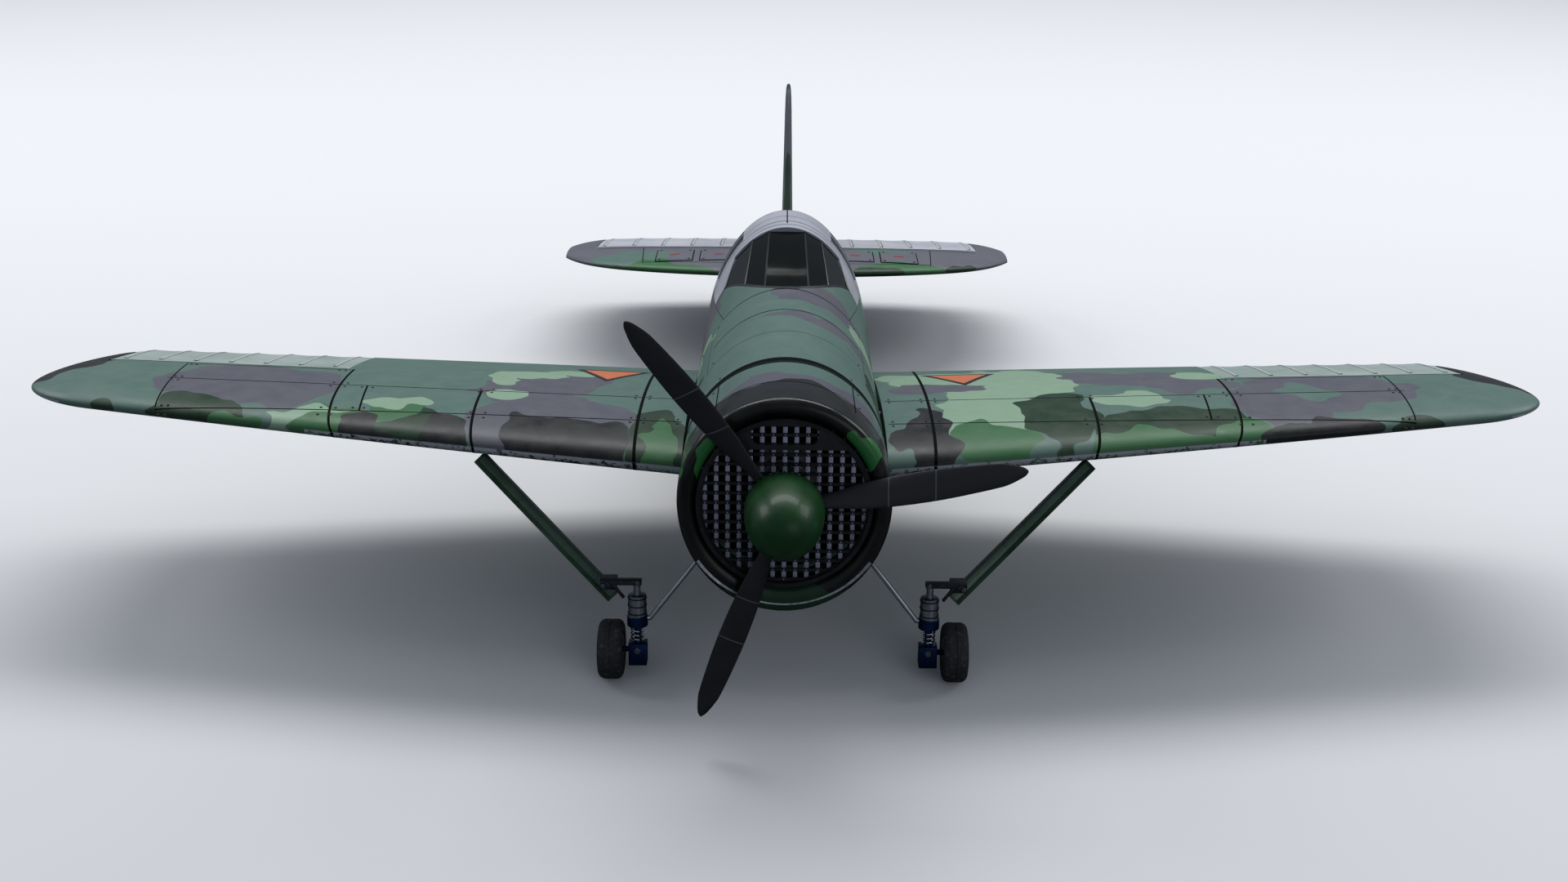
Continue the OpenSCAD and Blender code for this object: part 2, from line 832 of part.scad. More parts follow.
module rudder_zone(grow = 0) {
    z0 = rudder_foot - grow;
    z1 = fin_top - rudder_cap + grow;
    translate([0, rudder_hinge, z0])
        cylinder(r = rudder_nose + grow, h = z1 - z0, $fn = 24);
    translate([-far, rudder_hinge, z0])
        cube([2 * far, far, z1 - z0]);
}

module rudder_pin_bore() {
    translate([0, rudder_hinge, rudder_foot - 10])
        cylinder(d = 2.3, h = 22, $fn = 24);
    translate([0, rudder_hinge, fin_top - rudder_cap - 12])
        cylinder(d = 2.3, h = 20, $fn = 24);
}

module fin() color("seagreen") moulded() {
    difference() {
        fin_solid(tail_h);
        body_solid(fit_gap, firewall_at, tail_end + fit_gap);
        rudder_zone(swing_gap);
        rudder_pin_bore();
    }
}

module rudder() color("mediumseagreen") moulded() {
    difference() {
        intersection() {
            fin_solid(rudder_foot - 1);
            rudder_zone();
        }
        rudder_pin_bore();
    }
}

module rudder_pins() color("silver")
    for (z = [rudder_foot - 8, fin_top - rudder_cap - 9])
        translate([0, rudder_hinge, z])
            cylinder(d = 2, h = 16, $fn = 24);

// ---- landing gear ----

strut_top_x = 280;
strut_top = [strut_top_x, wing_front(strut_top_x) + 16, wing_z(strut_top_x) - 3];
strut_foot = [leg_x + 22, gear_at + 12, bar_top - 21];

module strut_profile(grow = 0) {
    w = 10 + 2 * grow;
    d = 11 + 2 * grow;
    translate([-d / 2, -w / 2])
        square([d, w]);
}

module strut_solid(grow = 0) {
    length = norm(strut_top - strut_foot);
    along(strut_foot, strut_top)
        rotate(90)
            linear_extrude(length)
                strut_profile(grow);
}

module wing_strut(side) color("darkseagreen") mirrored(side) moulded() {
    length = norm(strut_top - strut_foot);
    difference() {
        strut_solid();
        along(strut_foot, strut_top)
            translate([0, 0, -1])
                rotate(90)
                    linear_extrude(length - 30)
                        translate([-3.7, -3.2])
                            square([7.4, 6.4]);
        wing_solid(fit_gap);
    }
}

module gear_bracket(side) color("dimgray") mirrored(side) moulded() {
    difference() {
        union() {
            translate([leg_x - 4, gear_at - 4, bar_top - bar_t])
                cube([36, 8, bar_t]);
            translate([leg_x + 18, gear_at - 4, bar_top - bar_t - 4])
                cube([14, 16, bar_t + 4]);
            along([leg_x + 21, gear_at - 3, bar_top - bar_t + 1], [leg_x + 9.8, gear_at - 3, cylinder_top - 4])
                cylinder(d = 3, h = 16, $fn = 16);
        }
        strut_solid(fit_gap);
        translate([leg_x, gear_at, -far])
            cylinder(d = cylinder_d + 0.6, h = cylinder_top + far, $fn = 32);
    }
    translate([leg_x + 26, gear_at - 6, bar_top - bar_t])
        rotate([-90, 0, 0])
            cylinder(d = 7, h = 3, $fn = 24);
}

brace_low = [leg_x - cylinder_d / 2 - 0.8, gear_at, cylinder_low - 3];
brace_knee = [leg_x - 11, gear_at, cylinder_low - 3];
brace_high = [0.64 * half_w, gear_at + 32, -0.69 * belly_d];

module brace_rod(side) color("silver") mirrored(side) moulded() {
    difference() {
        union() {
            along(brace_low, brace_knee)
                cylinder(d = 4.4, h = norm(brace_knee - brace_low), $fn = 16);
            translate(brace_knee)
                sphere(d = 4.4, $fn = 16);
            along(brace_knee, brace_high)
                cylinder(d = 4.4, h = norm(brace_high - brace_knee), $fn = 16);
        }
        body_solid(fit_gap, cowl_front);
    }
}

// Upper leg: neck under the bracket, cylinder and collar, bored for the piston
module oleo_cylinder(side) color("slategray") mirrored(side)
    translate([leg_x, gear_at, 0])
        difference() {
            union() {
                translate([0, 0, cylinder_top - 0.5])
                    cylinder(d = 6, h = bar_top - bar_t - cylinder_top + 0.5, $fn = 32);
                translate([0, 0, cylinder_low])
                    cylinder(d = cylinder_d, h = cylinder_top - cylinder_low, $fn = 48);
                translate([0, 0, collar_low])
                    cylinder(d = cylinder_d + 1, h = cylinder_low - collar_low, $fn = 48);
            }
            translate([0, 0, collar_low - 1])
                cylinder(d = piston_d + 2 * run_gap, h = 28, $fn = 48);
        }

function coil_point(s, turns, r, h) = [r * cos(360 * turns * s), r * sin(360 * turns * s), h * s];

module oleo_spring(side) color("white") mirrored(side) {
    wire = 1.6;
    height = collar_low - block_top - wire - 0.6;
    turns = 3.5;
    n = 44;
    r = piston_d / 2 + 2.6;
    translate([leg_x, gear_at, block_top + wire / 2 + 0.3])
        loft([for (k = [0:n]) let (p = coil_point(k / n, turns, r, height), q = 360 * turns * k / n)
            [for (a = [0:60:300]) [p[0] + wire / 2 * cos(a) * cos(q), p[1] + wire / 2 * cos(a) * sin(q),
                p[2] + wire / 2 * sin(a)]]]);
}

module axle_block(side) color("navy") mirrored(side)
    union() {
        translate([leg_x, gear_at, block_top])
            cylinder(d = piston_d, h = collar_low - block_top + 17, $fn = 48);
        translate([leg_x - 8, gear_at - 7, block_low])
            cube([16, 14, block_top - block_low]);
        translate([leg_x + 7, gear_at, -axle_drop])
            rotate([0, 90, 0])
                cylinder(d = axle_d, h = wheel_in + tyre_w + 2 - leg_x - 7, $fn = 48);
    }

module x_cylinder(x0, x1, d, fn = 64) {
    translate([x0, gear_at, -axle_drop])
        rotate([0, 90, 0])
            cylinder(d = d, h = x1 - x0, $fn = fn);
}

module wheel_hub(side) color("silver") mirrored(side)
    difference() {
        x_cylinder(wheel_in + 1, wheel_in + tyre_w - 1, hub_d);
        x_cylinder(wheel_in + tyre_w - 6, wheel_in + tyre_w, hub_d - 6);
        x_cylinder(wheel_in, wheel_in + tyre_w, axle_d + 2 * run_gap);
    }

module tyre(side) color("black") mirrored(side)
    translate([wheel_mid, gear_at, -axle_drop])
        rotate([0, 90, 0])
            rotate_extrude($fn = 96)
                tyre_profile(tyre_d / 2, tyre_w / 2, hub_d / 2 + run_gap);

module tyre_profile(r, half, inner) {
    shoulder = 6;
    polygon(concat([[inner, -half + 2.5], [r - shoulder, -half]],
        [for (q = [15:15:90]) [r - shoulder + shoulder * sin(q), -half + shoulder * (1 - cos(q))]],
        [for (q = [90:-15:15]) [r - shoulder + shoulder * sin(q), half - shoulder * (1 - cos(q))]],
        [[r - shoulder, half], [inner, half - 2.5]]));
}

// ---- tail wheel ----

steer_top = -2;
post_d = 8;
fork_crown = tail_axle_h + tail_wheel_d / 2 + 2;

module tail_wheel_bracket() color("silver")
    translate([0, steer_at, 0])
        difference() {
            translate([0, 0, fork_crown + 2.3])
                cylinder(d = post_d, h = steer_top - fork_crown + 10, $fn = 40);
            translate([0, 0, fork_crown])
                cylinder(d = 4 + 2 * run_gap, h = steer_top - fork_crown + 8, $fn = 40);
        }

module tail_wheel_fork() color("gray") {
    translate([0, steer_at, fork_crown])
        cylinder(d = 4, h = steer_top - fork_crown + 4, $fn = 40);
    translate([-7.5, steer_at - 4, fork_crown])
        cube([15, 12, 2]);
    for (x = [-7.5, 5.5]) translate([x, steer_at + 4, tail_axle_h - 3])
        cube([2, 8, fork_crown - tail_axle_h + 4]);
    translate([-7, tail_axle_at, tail_axle_h])
        rotate([0, 90, 0])
            cylinder(d = 3, h = 14, $fn = 32);
}

module tail_wheel() color("black")
    translate([0, tail_axle_at, tail_axle_h])
        rotate([0, 90, 0])
            rotate_extrude($fn = 64)
                polygon([[1.5 + run_gap, -4.5], [tail_wheel_d / 2 - 4, -5], [tail_wheel_d / 2 - 1, -4],
                    [tail_wheel_d / 2, -2], [tail_wheel_d / 2, 2], [tail_wheel_d / 2 - 1, 4],
                    [tail_wheel_d / 2 - 4, 5], [1.5 + run_gap, 4.5]]);

in_ground_attitude() fuselage_shell();
in_ground_attitude() fuselage_formers();
in_ground_attitude() firewall();
in_ground_attitude() engine_cowl();
in_ground_attitude() cowl_grille();
in_ground_attitude() motor_mount();
in_ground_attitude() motor_stator();
in_ground_attitude() motor_bell();
in_ground_attitude() speed_controller();
in_ground_attitude() battery();
in_ground_attitude() battery_tray();
in_ground_attitude() receiver();
in_ground_attitude() radio_servos();
in_ground_attitude() top_hatch();
in_ground_attitude() cockpit_tub();
in_ground_attitude() instrument_panel();
in_ground_attitude() pilot_seat();
in_ground_attitude() windscreen_frame();
in_ground_attitude() windscreen_glass();
in_ground_attitude() sliding_canopy();
in_ground_attitude() canopy_glass();
in_ground_attitude() wing_tube();
in_ground_attitude() wing_bolts();
in_ground_attitude() wing(-1);  // wing_left
in_ground_attitude() wing(1);  // wing_right
in_ground_attitude() aileron(-1);  // aileron_left
in_ground_attitude() aileron(1);  // aileron_right
in_ground_attitude() aileron_torque_rod(-1);  // aileron_torque_rod_left
in_ground_attitude() aileron_torque_rod(1);  // aileron_torque_rod_right
in_ground_attitude() tailplane();
in_ground_attitude() tail_covers();
in_ground_attitude() fin();
in_ground_attitude() elevator(-1);  // elevator_left
in_ground_attitude() elevator(1);  // elevator_right
in_ground_attitude() elevator_joiner();
in_ground_attitude() rudder();
in_ground_attitude() rudder_pins();
in_ground_attitude() wing_strut(-1);  // wing_strut_left
in_ground_attitude() wing_strut(1);  // wing_strut_right
in_ground_attitude() gear_bracket(-1);  // gear_bracket_left
in_ground_attitude() gear_bracket(1);  // gear_bracket_right
in_ground_attitude() brace_rod(-1);  // brace_rod_left
in_ground_attitude() brace_rod(1);  // brace_rod_right
in_ground_attitude() oleo_cylinder(-1);  // oleo_cylinder_left
in_ground_attitude() oleo_cylinder(1);  // oleo_cylinder_right
in_ground_attitude() oleo_spring(-1);  // oleo_spring_left
in_ground_attitude() oleo_spring(1);  // oleo_spring_right
in_ground_attitude() axle_block(-1);  // axle_block_left
in_ground_attitude() axle_block(1);  // axle_block_right
in_ground_attitude() wheel_hub(-1);  // wheel_hub_left
in_ground_attitude() wheel_hub(1);  // wheel_hub_right
in_ground_attitude() tyre(-1);  // tyre_left
in_ground_attitude() tyre(1);  // tyre_right
in_ground_attitude() tail_wheel_bracket();
in_ground_attitude() tail_wheel_fork();
in_ground_attitude() tail_wheel();
in_ground_attitude() propeller();
in_ground_attitude() spinner();
in_ground_attitude() spinner_backplate();
in_ground_attitude() prop_nut();
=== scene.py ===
"""Looks for the radio-controlled warbird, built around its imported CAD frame."""

import json
from math import acos, asin, atan, cos, degrees, exp, pi, radians, sin, sqrt, tan

import bpy
from mathutils import Matrix, Vector


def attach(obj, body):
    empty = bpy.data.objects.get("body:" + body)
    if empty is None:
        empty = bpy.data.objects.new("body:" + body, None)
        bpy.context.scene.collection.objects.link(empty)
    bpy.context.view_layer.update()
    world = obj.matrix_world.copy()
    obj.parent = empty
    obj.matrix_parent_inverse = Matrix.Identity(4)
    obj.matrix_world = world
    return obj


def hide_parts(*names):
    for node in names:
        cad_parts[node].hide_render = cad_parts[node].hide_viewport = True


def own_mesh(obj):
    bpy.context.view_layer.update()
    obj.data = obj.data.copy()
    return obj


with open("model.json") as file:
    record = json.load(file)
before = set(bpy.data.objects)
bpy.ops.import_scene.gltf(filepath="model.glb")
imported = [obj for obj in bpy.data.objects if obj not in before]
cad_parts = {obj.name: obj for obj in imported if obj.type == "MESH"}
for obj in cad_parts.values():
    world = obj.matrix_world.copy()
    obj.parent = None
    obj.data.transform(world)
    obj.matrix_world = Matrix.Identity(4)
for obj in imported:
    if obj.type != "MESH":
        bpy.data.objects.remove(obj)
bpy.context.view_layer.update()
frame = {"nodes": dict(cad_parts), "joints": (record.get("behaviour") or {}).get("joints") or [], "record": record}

# ---- aircraft axes: x across, y aft of the propeller plane, z above the thrust line, in mm ----

MM = 0.001
JOINTS = {j["name"]: j for j in frame["joints"]}
HUB = Vector(JOINTS["propeller_spin"]["pos_m"])
ACROSS = Vector((1, 0, 0))
AFT = Vector(JOINTS["propeller_spin"]["axis"])
UP = Vector(JOINTS["rudder_hinge"]["axis"])
NOSE_UP = acos(AFT.y)


def place(x, y, z):
    return HUB + MM * (x * ACROSS + y * AFT + z * UP)


def aircraft(point):
    r = (point - HUB) / MM
    return r.dot(ACROSS), r.dot(AFT), r.dot(UP)


def direction(x, y, z):
    return (x * ACROSS + y * AFT + z * UP).normalized()


# ---- fairing lines of the fuselage ----

HALF_W, TAIL_END, TAIL_H = 88, 890, 50
FIREWALL, HATCH_FRONT, SCREEN_BASE, SCREEN_TOP, CANOPY_REAR = 118, 192, 330, 445, 546
SILL, HATCH_HALF, SEAM = 78, 71.5, 0.8
DECK_END, DECK_SINK, DECK_EDGE = 700, 3.3, 4  # the deck that the hood slides over lies lower
WIDTH_LINE = [(0, 88), (480, 88), (560, 85.4), (640, 72.2), (720, 52.8), (810, 29.9), (890, 10.6)]
TOP_LINE = [(0, 88), (118, 92), (180, 99), (260, 106), (330, 110), (390, 133.5), (445, 153.9),
            (480, 157), (540, 153.1), (640, 116.2), (740, 86), (890, 62)]
BELLY_LINE = [(0, 95), (118, 99), (250, 100), (400, 92.1), (550, 71.3), (700, 41.6), (800, 17.8),
              (890, -8)]
CENTRE_LINE = [(0, 0), (430, 0), (600, 12), (760, 26), (890, 36)]


def fair(line, x):
    """Smooth curve through a list of (station, value)."""
    i = 0
    while i < len(line) - 2 and x >= line[i + 1][0]:
        i += 1
    before, p, q = line[max(i - 1, 0)], line[i], line[i + 1]
    after = line[min(i + 2, len(line) - 1)]
    h = q[0] - p[0]
    s = (x - p[0]) / h
    m1 = (q[1] - before[1]) / (q[0] - before[0]) * h
    m2 = (after[1] - p[1]) / (after[0] - p[0]) * h
    return ((2 * s**3 - 3 * s**2 + 1) * p[1] + (s**3 - 2 * s**2 + s) * m1
            + (3 * s**2 - 2 * s**3) * q[1] + (s**3 - s**2) * m2)


def body_point(y, turn, off=0.0):
    """A point on the fuselage section at y; turn is 0 at the top, in degrees."""
    q = radians(turn)
    width = fair(WIDTH_LINE, y) + off
    middle = fair(CENTRE_LINE, y)
    rise = fair(TOP_LINE, y) + off - middle
    drop = fair(BELLY_LINE, y) + off + middle
    return width * sin(q), y, middle + cos(q) * (rise if cos(q) > 0 else drop)


def body_top(x, y, off=0.0):
    width = fair(WIDTH_LINE, y) + off
    return body_point(y, degrees(asin(max(-1, min(1, x / width)))), off)


# ---- wing and tail surfaces ----

TIP_X, ROOT_X, WING_LE, ROOT_CHORD, TIP_ROUND = 700, 88.6, 102, 330, 70
AILERON_IN, AILERON_OUT, AILERON_SHARE = 425, 655, 0.63
AILERON_RIBS, ELEVATOR_RIBS = 33.5, 37  # rib pitch
TAIL_TIP, TAIL_ROOT, ELEVATOR_IN, ELEVATOR_OUT = 278, 22, 30, 240
DIHEDRAL = tan(radians(3))


def mirrored(side, point):
    """The same point on the left (-1) or right (1) of the aircraft."""
    return side * point[0], point[1], point[2]


def foil(c, t):
    return 5 * t * (0.2969 * sqrt(max(c, 0)) - 0.126 * c - 0.3516 * c**2 + 0.2843 * c**3
                    - 0.1015 * c**4)


def tip_curl(x):
    s = (x - TIP_X + TIP_ROUND) / TIP_ROUND
    return 1 - sqrt(max(0, 1 - s * s)) if s > 0 else 0


def wing_edges(x):
    s = (x - ROOT_X) / (TIP_X - ROOT_X)
    return (WING_LE + 68 * s + 20 * s**2 + 48 * tip_curl(x),
            WING_LE + ROOT_CHORD - 46 * s - 12 * s**2 - 128 * tip_curl(x))


def wing_point(x, c, top, lift=0.0):
    """A point at chord share c on the upper or lower surface of the right wing."""
    front, rear = wing_edges(x)
    s = (x - ROOT_X) / (TIP_X - ROOT_X)
    chord = rear - front
    half = chord * foil(c, 0.13 - 0.02 * s) + lift
    middle = (x - ROOT_X) * DIHEDRAL + 0.012 * chord * sin(pi * c)
    return x, front + c * chord, middle + (half if top else -half)


def aileron_pivot(x):
    """(y, z) of the straight hinge line between the two ends of the aileron."""
    ends = []
    for end in (AILERON_IN, AILERON_OUT):
        front, rear = wing_edges(end)
        ends.append((front + AILERON_SHARE * (rear - front),
                     (end - ROOT_X) * DIHEDRAL + 0.006 * (rear - front)))
    along = (x - AILERON_IN) / (AILERON_OUT - AILERON_IN)
    return tuple(a + (b - a) * along for a, b in zip(*ends))


def aileron_share(x):
    front, rear = wing_edges(x)
    return (aileron_pivot(x)[0] - front) / (rear - front)


def tail_edges(x):
    s = abs(x) / TAIL_TIP
    return TAIL_END - 184 + 56 * s**2 + 40 * s**10, TAIL_END + 60 - 14 * s**2 - 56 * s**12


def tail_point(x, c, top, lift=0.0):
    front, rear = tail_edges(x)
    chord = rear - front
    half = chord * foil(c, 0.09) + lift
    return x, front + c * chord, TAIL_H + 0.012 * chord * sin(pi * c) + (half if top else -half)


# ---- making and shaping pieces ----


def deselect():
    if bpy.context.object and bpy.context.object.mode != "OBJECT":
        bpy.ops.object.mode_set(mode="OBJECT")
    bpy.ops.object.select_all(action="DESELECT")


def choose(*pieces):
    deselect()
    for piece in pieces:
        piece.select_set(True)
    bpy.context.view_layer.objects.active = pieces[0]


def edit(piece, select="SELECT"):
    choose(piece)
    bpy.ops.object.mode_set(mode="EDIT")
    bpy.ops.mesh.select_all(action=select)


def weld(piece):
    edit(piece)
    bpy.ops.mesh.remove_doubles(threshold=1e-6)
    bpy.ops.mesh.normals_make_consistent(inside=False)
    bpy.ops.object.mode_set(mode="OBJECT")


def soften(piece, sharp=30):
    choose(piece)
    bpy.ops.object.shade_smooth_by_angle(angle=radians(sharp))


def laid_skin(name, around, along, spot, sharp=30):
    """A grid laid over the surface spot(u, v), with its seam and poles welded."""
    deselect()
    bpy.ops.mesh.primitive_grid_add(x_subdivisions=around, y_subdivisions=along, size=1)
    piece = bpy.context.object
    piece.name = name
    for v in piece.data.vertices:
        v.co = place(*spot(v.co.x + 0.5, v.co.y + 0.5))
    weld(piece)
    soften(piece, sharp)
    return piece


def pick_faces(piece, test):
    bpy.context.tool_settings.mesh_select_mode = (False, False, True)
    edit(piece, "DESELECT")
    bpy.ops.object.mode_set(mode="OBJECT")
    for face in piece.data.polygons:
        face.select = test(*aircraft(face.center))
    bpy.ops.object.mode_set(mode="EDIT")


def drop_faces(piece, test):
    pick_faces(piece, test)
    bpy.ops.mesh.delete(type="FACE")
    bpy.ops.object.mode_set(mode="OBJECT")


def planes(axis, *places):
    """Planes square to an axis (0 for x, 1 for y, 2 for z), as (point, normal)."""
    unit = [float(i == axis) for i in range(3)]
    return [([place * i for i in unit], unit) for place in places]


def split(piece, *cuts):
    """Adds edges where the piece crosses each plane, given as (point, normal)."""
    edit(piece)
    for point, normal in cuts:
        bpy.ops.mesh.select_all(action="SELECT")
        bpy.ops.mesh.bisect(plane_co=place(*point), plane_no=direction(*normal))
    bpy.ops.object.mode_set(mode="OBJECT")


def apply_modifier(piece, kind, **settings):
    choose(piece)
    modifier = piece.modifiers.new(kind.title(), kind)
    for key, value in settings.items():
        setattr(modifier, key, value)
    bpy.ops.object.modifier_apply(modifier=modifier.name)


def thicken(piece, wall, sharp=30):
    apply_modifier(piece, "SOLIDIFY", thickness=wall * MM, offset=-1, use_even_offset=True)
    soften(piece, sharp)


def rounded(piece, radius, segments=2, sharp=30):
    apply_modifier(piece, "BEVEL", width=radius * MM, segments=segments, limit_method="ANGLE",
                   angle_limit=radians(40), use_clamp_overlap=True)
    soften(piece, sharp)


def joined(name, pieces):
    choose(*pieces)
    if len(pieces) > 1:
        bpy.ops.object.join()
    bpy.context.object.name = name
    return bpy.context.object


def turned(name, profile, centre, axis, around=64, sharp=35):
    """Revolves a closed profile of (radius, distance along the axis) about an axis."""
    axis = direction(*axis)
    side = axis.orthogonal().normalized()
    other = axis.cross(side)
    start = place(*centre)
    ring = profile + [profile[0]]
    deselect()
    bpy.ops.mesh.primitive_grid_add(x_subdivisions=around, y_subdivisions=len(profile), size=1)
    piece = bpy.context.object
    piece.name = name
    for v in piece.data.vertices:
        q = 2 * pi * (v.co.x + 0.5)
        radius, step = ring[round((v.co.y + 0.5) * len(profile))]
        v.co = start + MM * (step * axis + radius * (cos(q) * side + sin(q) * other))
    weld(piece)
    soften(piece, sharp)
    return piece


def block(name, size, centre, toward=None):
    """A rectangular blank of size (x, y, z) whose z axis points along toward."""
    deselect()
    bpy.ops.mesh.primitive_cube_add(size=1)
    piece = bpy.context.object
    piece.name = name
    z = direction(*toward) if toward else UP
    x = z.cross(AFT).normalized() if abs(z.dot(AFT)) < 0.9 else ACROSS
    y = z.cross(x).normalized()
    turn = Matrix((x, y, z)).transposed()
    for v in piece.data.vertices:
        v.co = place(*centre) + turn @ Vector([MM * a * b for a, b in zip(size, v.co)])
    weld(piece)
    return piece


def strip(name, on, a, b, width, lift=0.12, steps=30):
    """A flat band of that width between a and b, laid on the surface on(x, y, lift)."""
    a, b = Vector(a), Vector(b)
    side = Vector((-(b - a).y, (b - a).x)).normalized() * width / 2

    def spot(u, v):
        p = a.lerp(b, v) + side * (2 * u - 1)
        return on(p.x, p.y, lift)

    return laid_skin(name, 1, steps, spot)


def screw_heads(name, spots, radius=1.1, height=0.5):
    """Screw heads with a small recess, one per (point, normal)."""
    profile = [(0, -0.3), (radius, -0.3), (radius, height * 0.5), (radius * 0.75, height), (0.3, height),
               (0.2, height * 0.4), (0, height * 0.4)]
    return joined(name, [turned(name, profile, point, normal, 12) for point, normal in spots])


def smooth_copy(node, sharp=30, bevel=0.0):
    """A welded, smoothly shaded copy of a CAD node."""
    source = frame["nodes"][node]
    deselect()
    source.hide_set(False)
    source.select_set(True)
    bpy.context.view_layer.objects.active = source
    bpy.ops.object.duplicate()
    piece = bpy.context.object
    world = piece.matrix_world.copy()
    piece.parent = None
    piece.matrix_world = world
    piece.name = node + "_finished"
    piece.data.materials.clear()
    edit(piece)
    bpy.ops.mesh.remove_doubles(threshold=1e-6)
    bpy.ops.mesh.dissolve_limited(angle_limit=radians(0.5))
    bpy.ops.object.mode_set(mode="OBJECT")
    if bevel:
        rounded(piece, bevel, 2, sharp)
    soften(piece, sharp)
    return piece


BODY_OF = {node: body for body, nodes in frame["record"]["behaviour"]["bodies"].items() for node in nodes}


def stands_for(piece, material, *nodes):
    """The piece takes over these CAD nodes, rides on their body and gets a material."""
    piece.data.materials.clear()
    piece.data.materials.append(material)
    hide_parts(*nodes)
    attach(piece, BODY_OF[nodes[0]])
    return piece


def fitted(piece, material, body="airframe"):
    """A detail that stands for no CAD node: it rides on a body and gets a material."""
    piece.data.materials.clear()
    piece.data.materials.append(material)
    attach(piece, body)
    return piece


# ---- materials ----


def linear(code):
    """sRGB hex to the linear colour that the shaders take."""
    parts = [int(code[i:i + 2], 16) / 255 for i in (1, 3, 5)]
    return [c / 12.92 if c < 0.04045 else ((c + 0.055) / 1.055) ** 2.4 for c in parts] + [1]


def put(tree, kind, inputs=None, **settings):
    """One node with its settings; inputs are sockets to link or values to set."""
    node = tree.nodes.new("ShaderNode" + kind)
    for key, value in settings.items():
        setattr(node, key, value)
    for key, value in (inputs or {}).items():
        if isinstance(value, bpy.types.NodeSocket):
            tree.links.new(value, node.inputs[key])
        else:
            node.inputs[key].default_value = value
    return node


def finish(name, **sockets):
    material = bpy.data.materials.new(name)
    material.use_nodes = True
    tree = material.node_tree
    shader = tree.nodes["Principled BSDF"]
    for key, value in sockets.items():
        shader.inputs[key.replace("_", " ")].default_value = value
    return material, tree, shader


def millimetres(tree):
    """Object coordinates turned into the aircraft's axes, in mm."""
    where = put(tree, "TexCoord").outputs["Object"]
    turn = Matrix.Rotation(NOSE_UP, 3, "X")
    shift = -(turn @ HUB) / MM
    return put(tree, "Mapping", {0: where, "Location": shift, "Rotation": (NOSE_UP, 0, 0),
                                           "Scale": (1 / MM,) * 3}).outputs[0]


def noise(tree, where, size, detail=3.0, rough=0.55, seed=0.0):
    """Noise whose features are about size mm across."""
    moved = vectors(tree, "ADD", where, (seed * 37.1, seed * 11.7, seed * 5.3))
    return put(tree, "TexNoise", {"Vector": moved, "Scale": 1 / size, "Detail": detail,
                                            "Roughness": rough})


def steps(tree, value, low, high, to_low=0.0, to_high=1.0):
    return put(tree, "MapRange", {0: value, 1: low, 2: high, 3: to_low, 4: to_high}).outputs[0]


def mixed(tree, share, a, b, blend="MIX"):
    inputs = {0: share, 6: a, 7: b}
    return put(tree, "Mix", inputs, data_type="RGBA", blend_type=blend).outputs[2]


def sums(tree, kind, a, b=0.0):
    return put(tree, "Math", {0: a, 1: b}, operation=kind).outputs[0]


def vectors(tree, kind, a, b):
    second = "Scale" if kind == "SCALE" else 1
    return put(tree, "VectorMath", {0: a, second: b}, operation=kind).outputs[0]


def relief(tree, shader, height, depth):
    """Bump of that depth in mm."""
    bump = put(tree, "Bump", {"Height": height, "Distance": depth * MM, "Strength": 1.0})
    tree.links.new(bump.outputs[0], shader.inputs["Normal"])


SAGE, TEAL, SLATE, GREEN, PINE, INK = "#97b79c", "#5f7d74", "#63646f", "#3f7549", "#173a22", "#17191d"


def patch_mask(tree, where, patches):
    """1 inside any of the ellipses (x, y, half width, half length), or with (z, half height) too."""
    nearest = None
    for x, y, rx, ry, *height in patches:
        z, rz = height or (0, 1e6)
        local = put(tree, "Mapping", {0: where, "Location": (x, y, z), "Scale": (rx, ry, rz)},
                    vector_type="TEXTURE").outputs[0]
        reach = put(tree, "VectorMath", {0: local}, operation="LENGTH").outputs["Value"]
        nearest = reach if nearest is None else sums(tree, "MINIMUM", nearest, reach)
    return steps(tree, nearest, 1.01, 0.99)


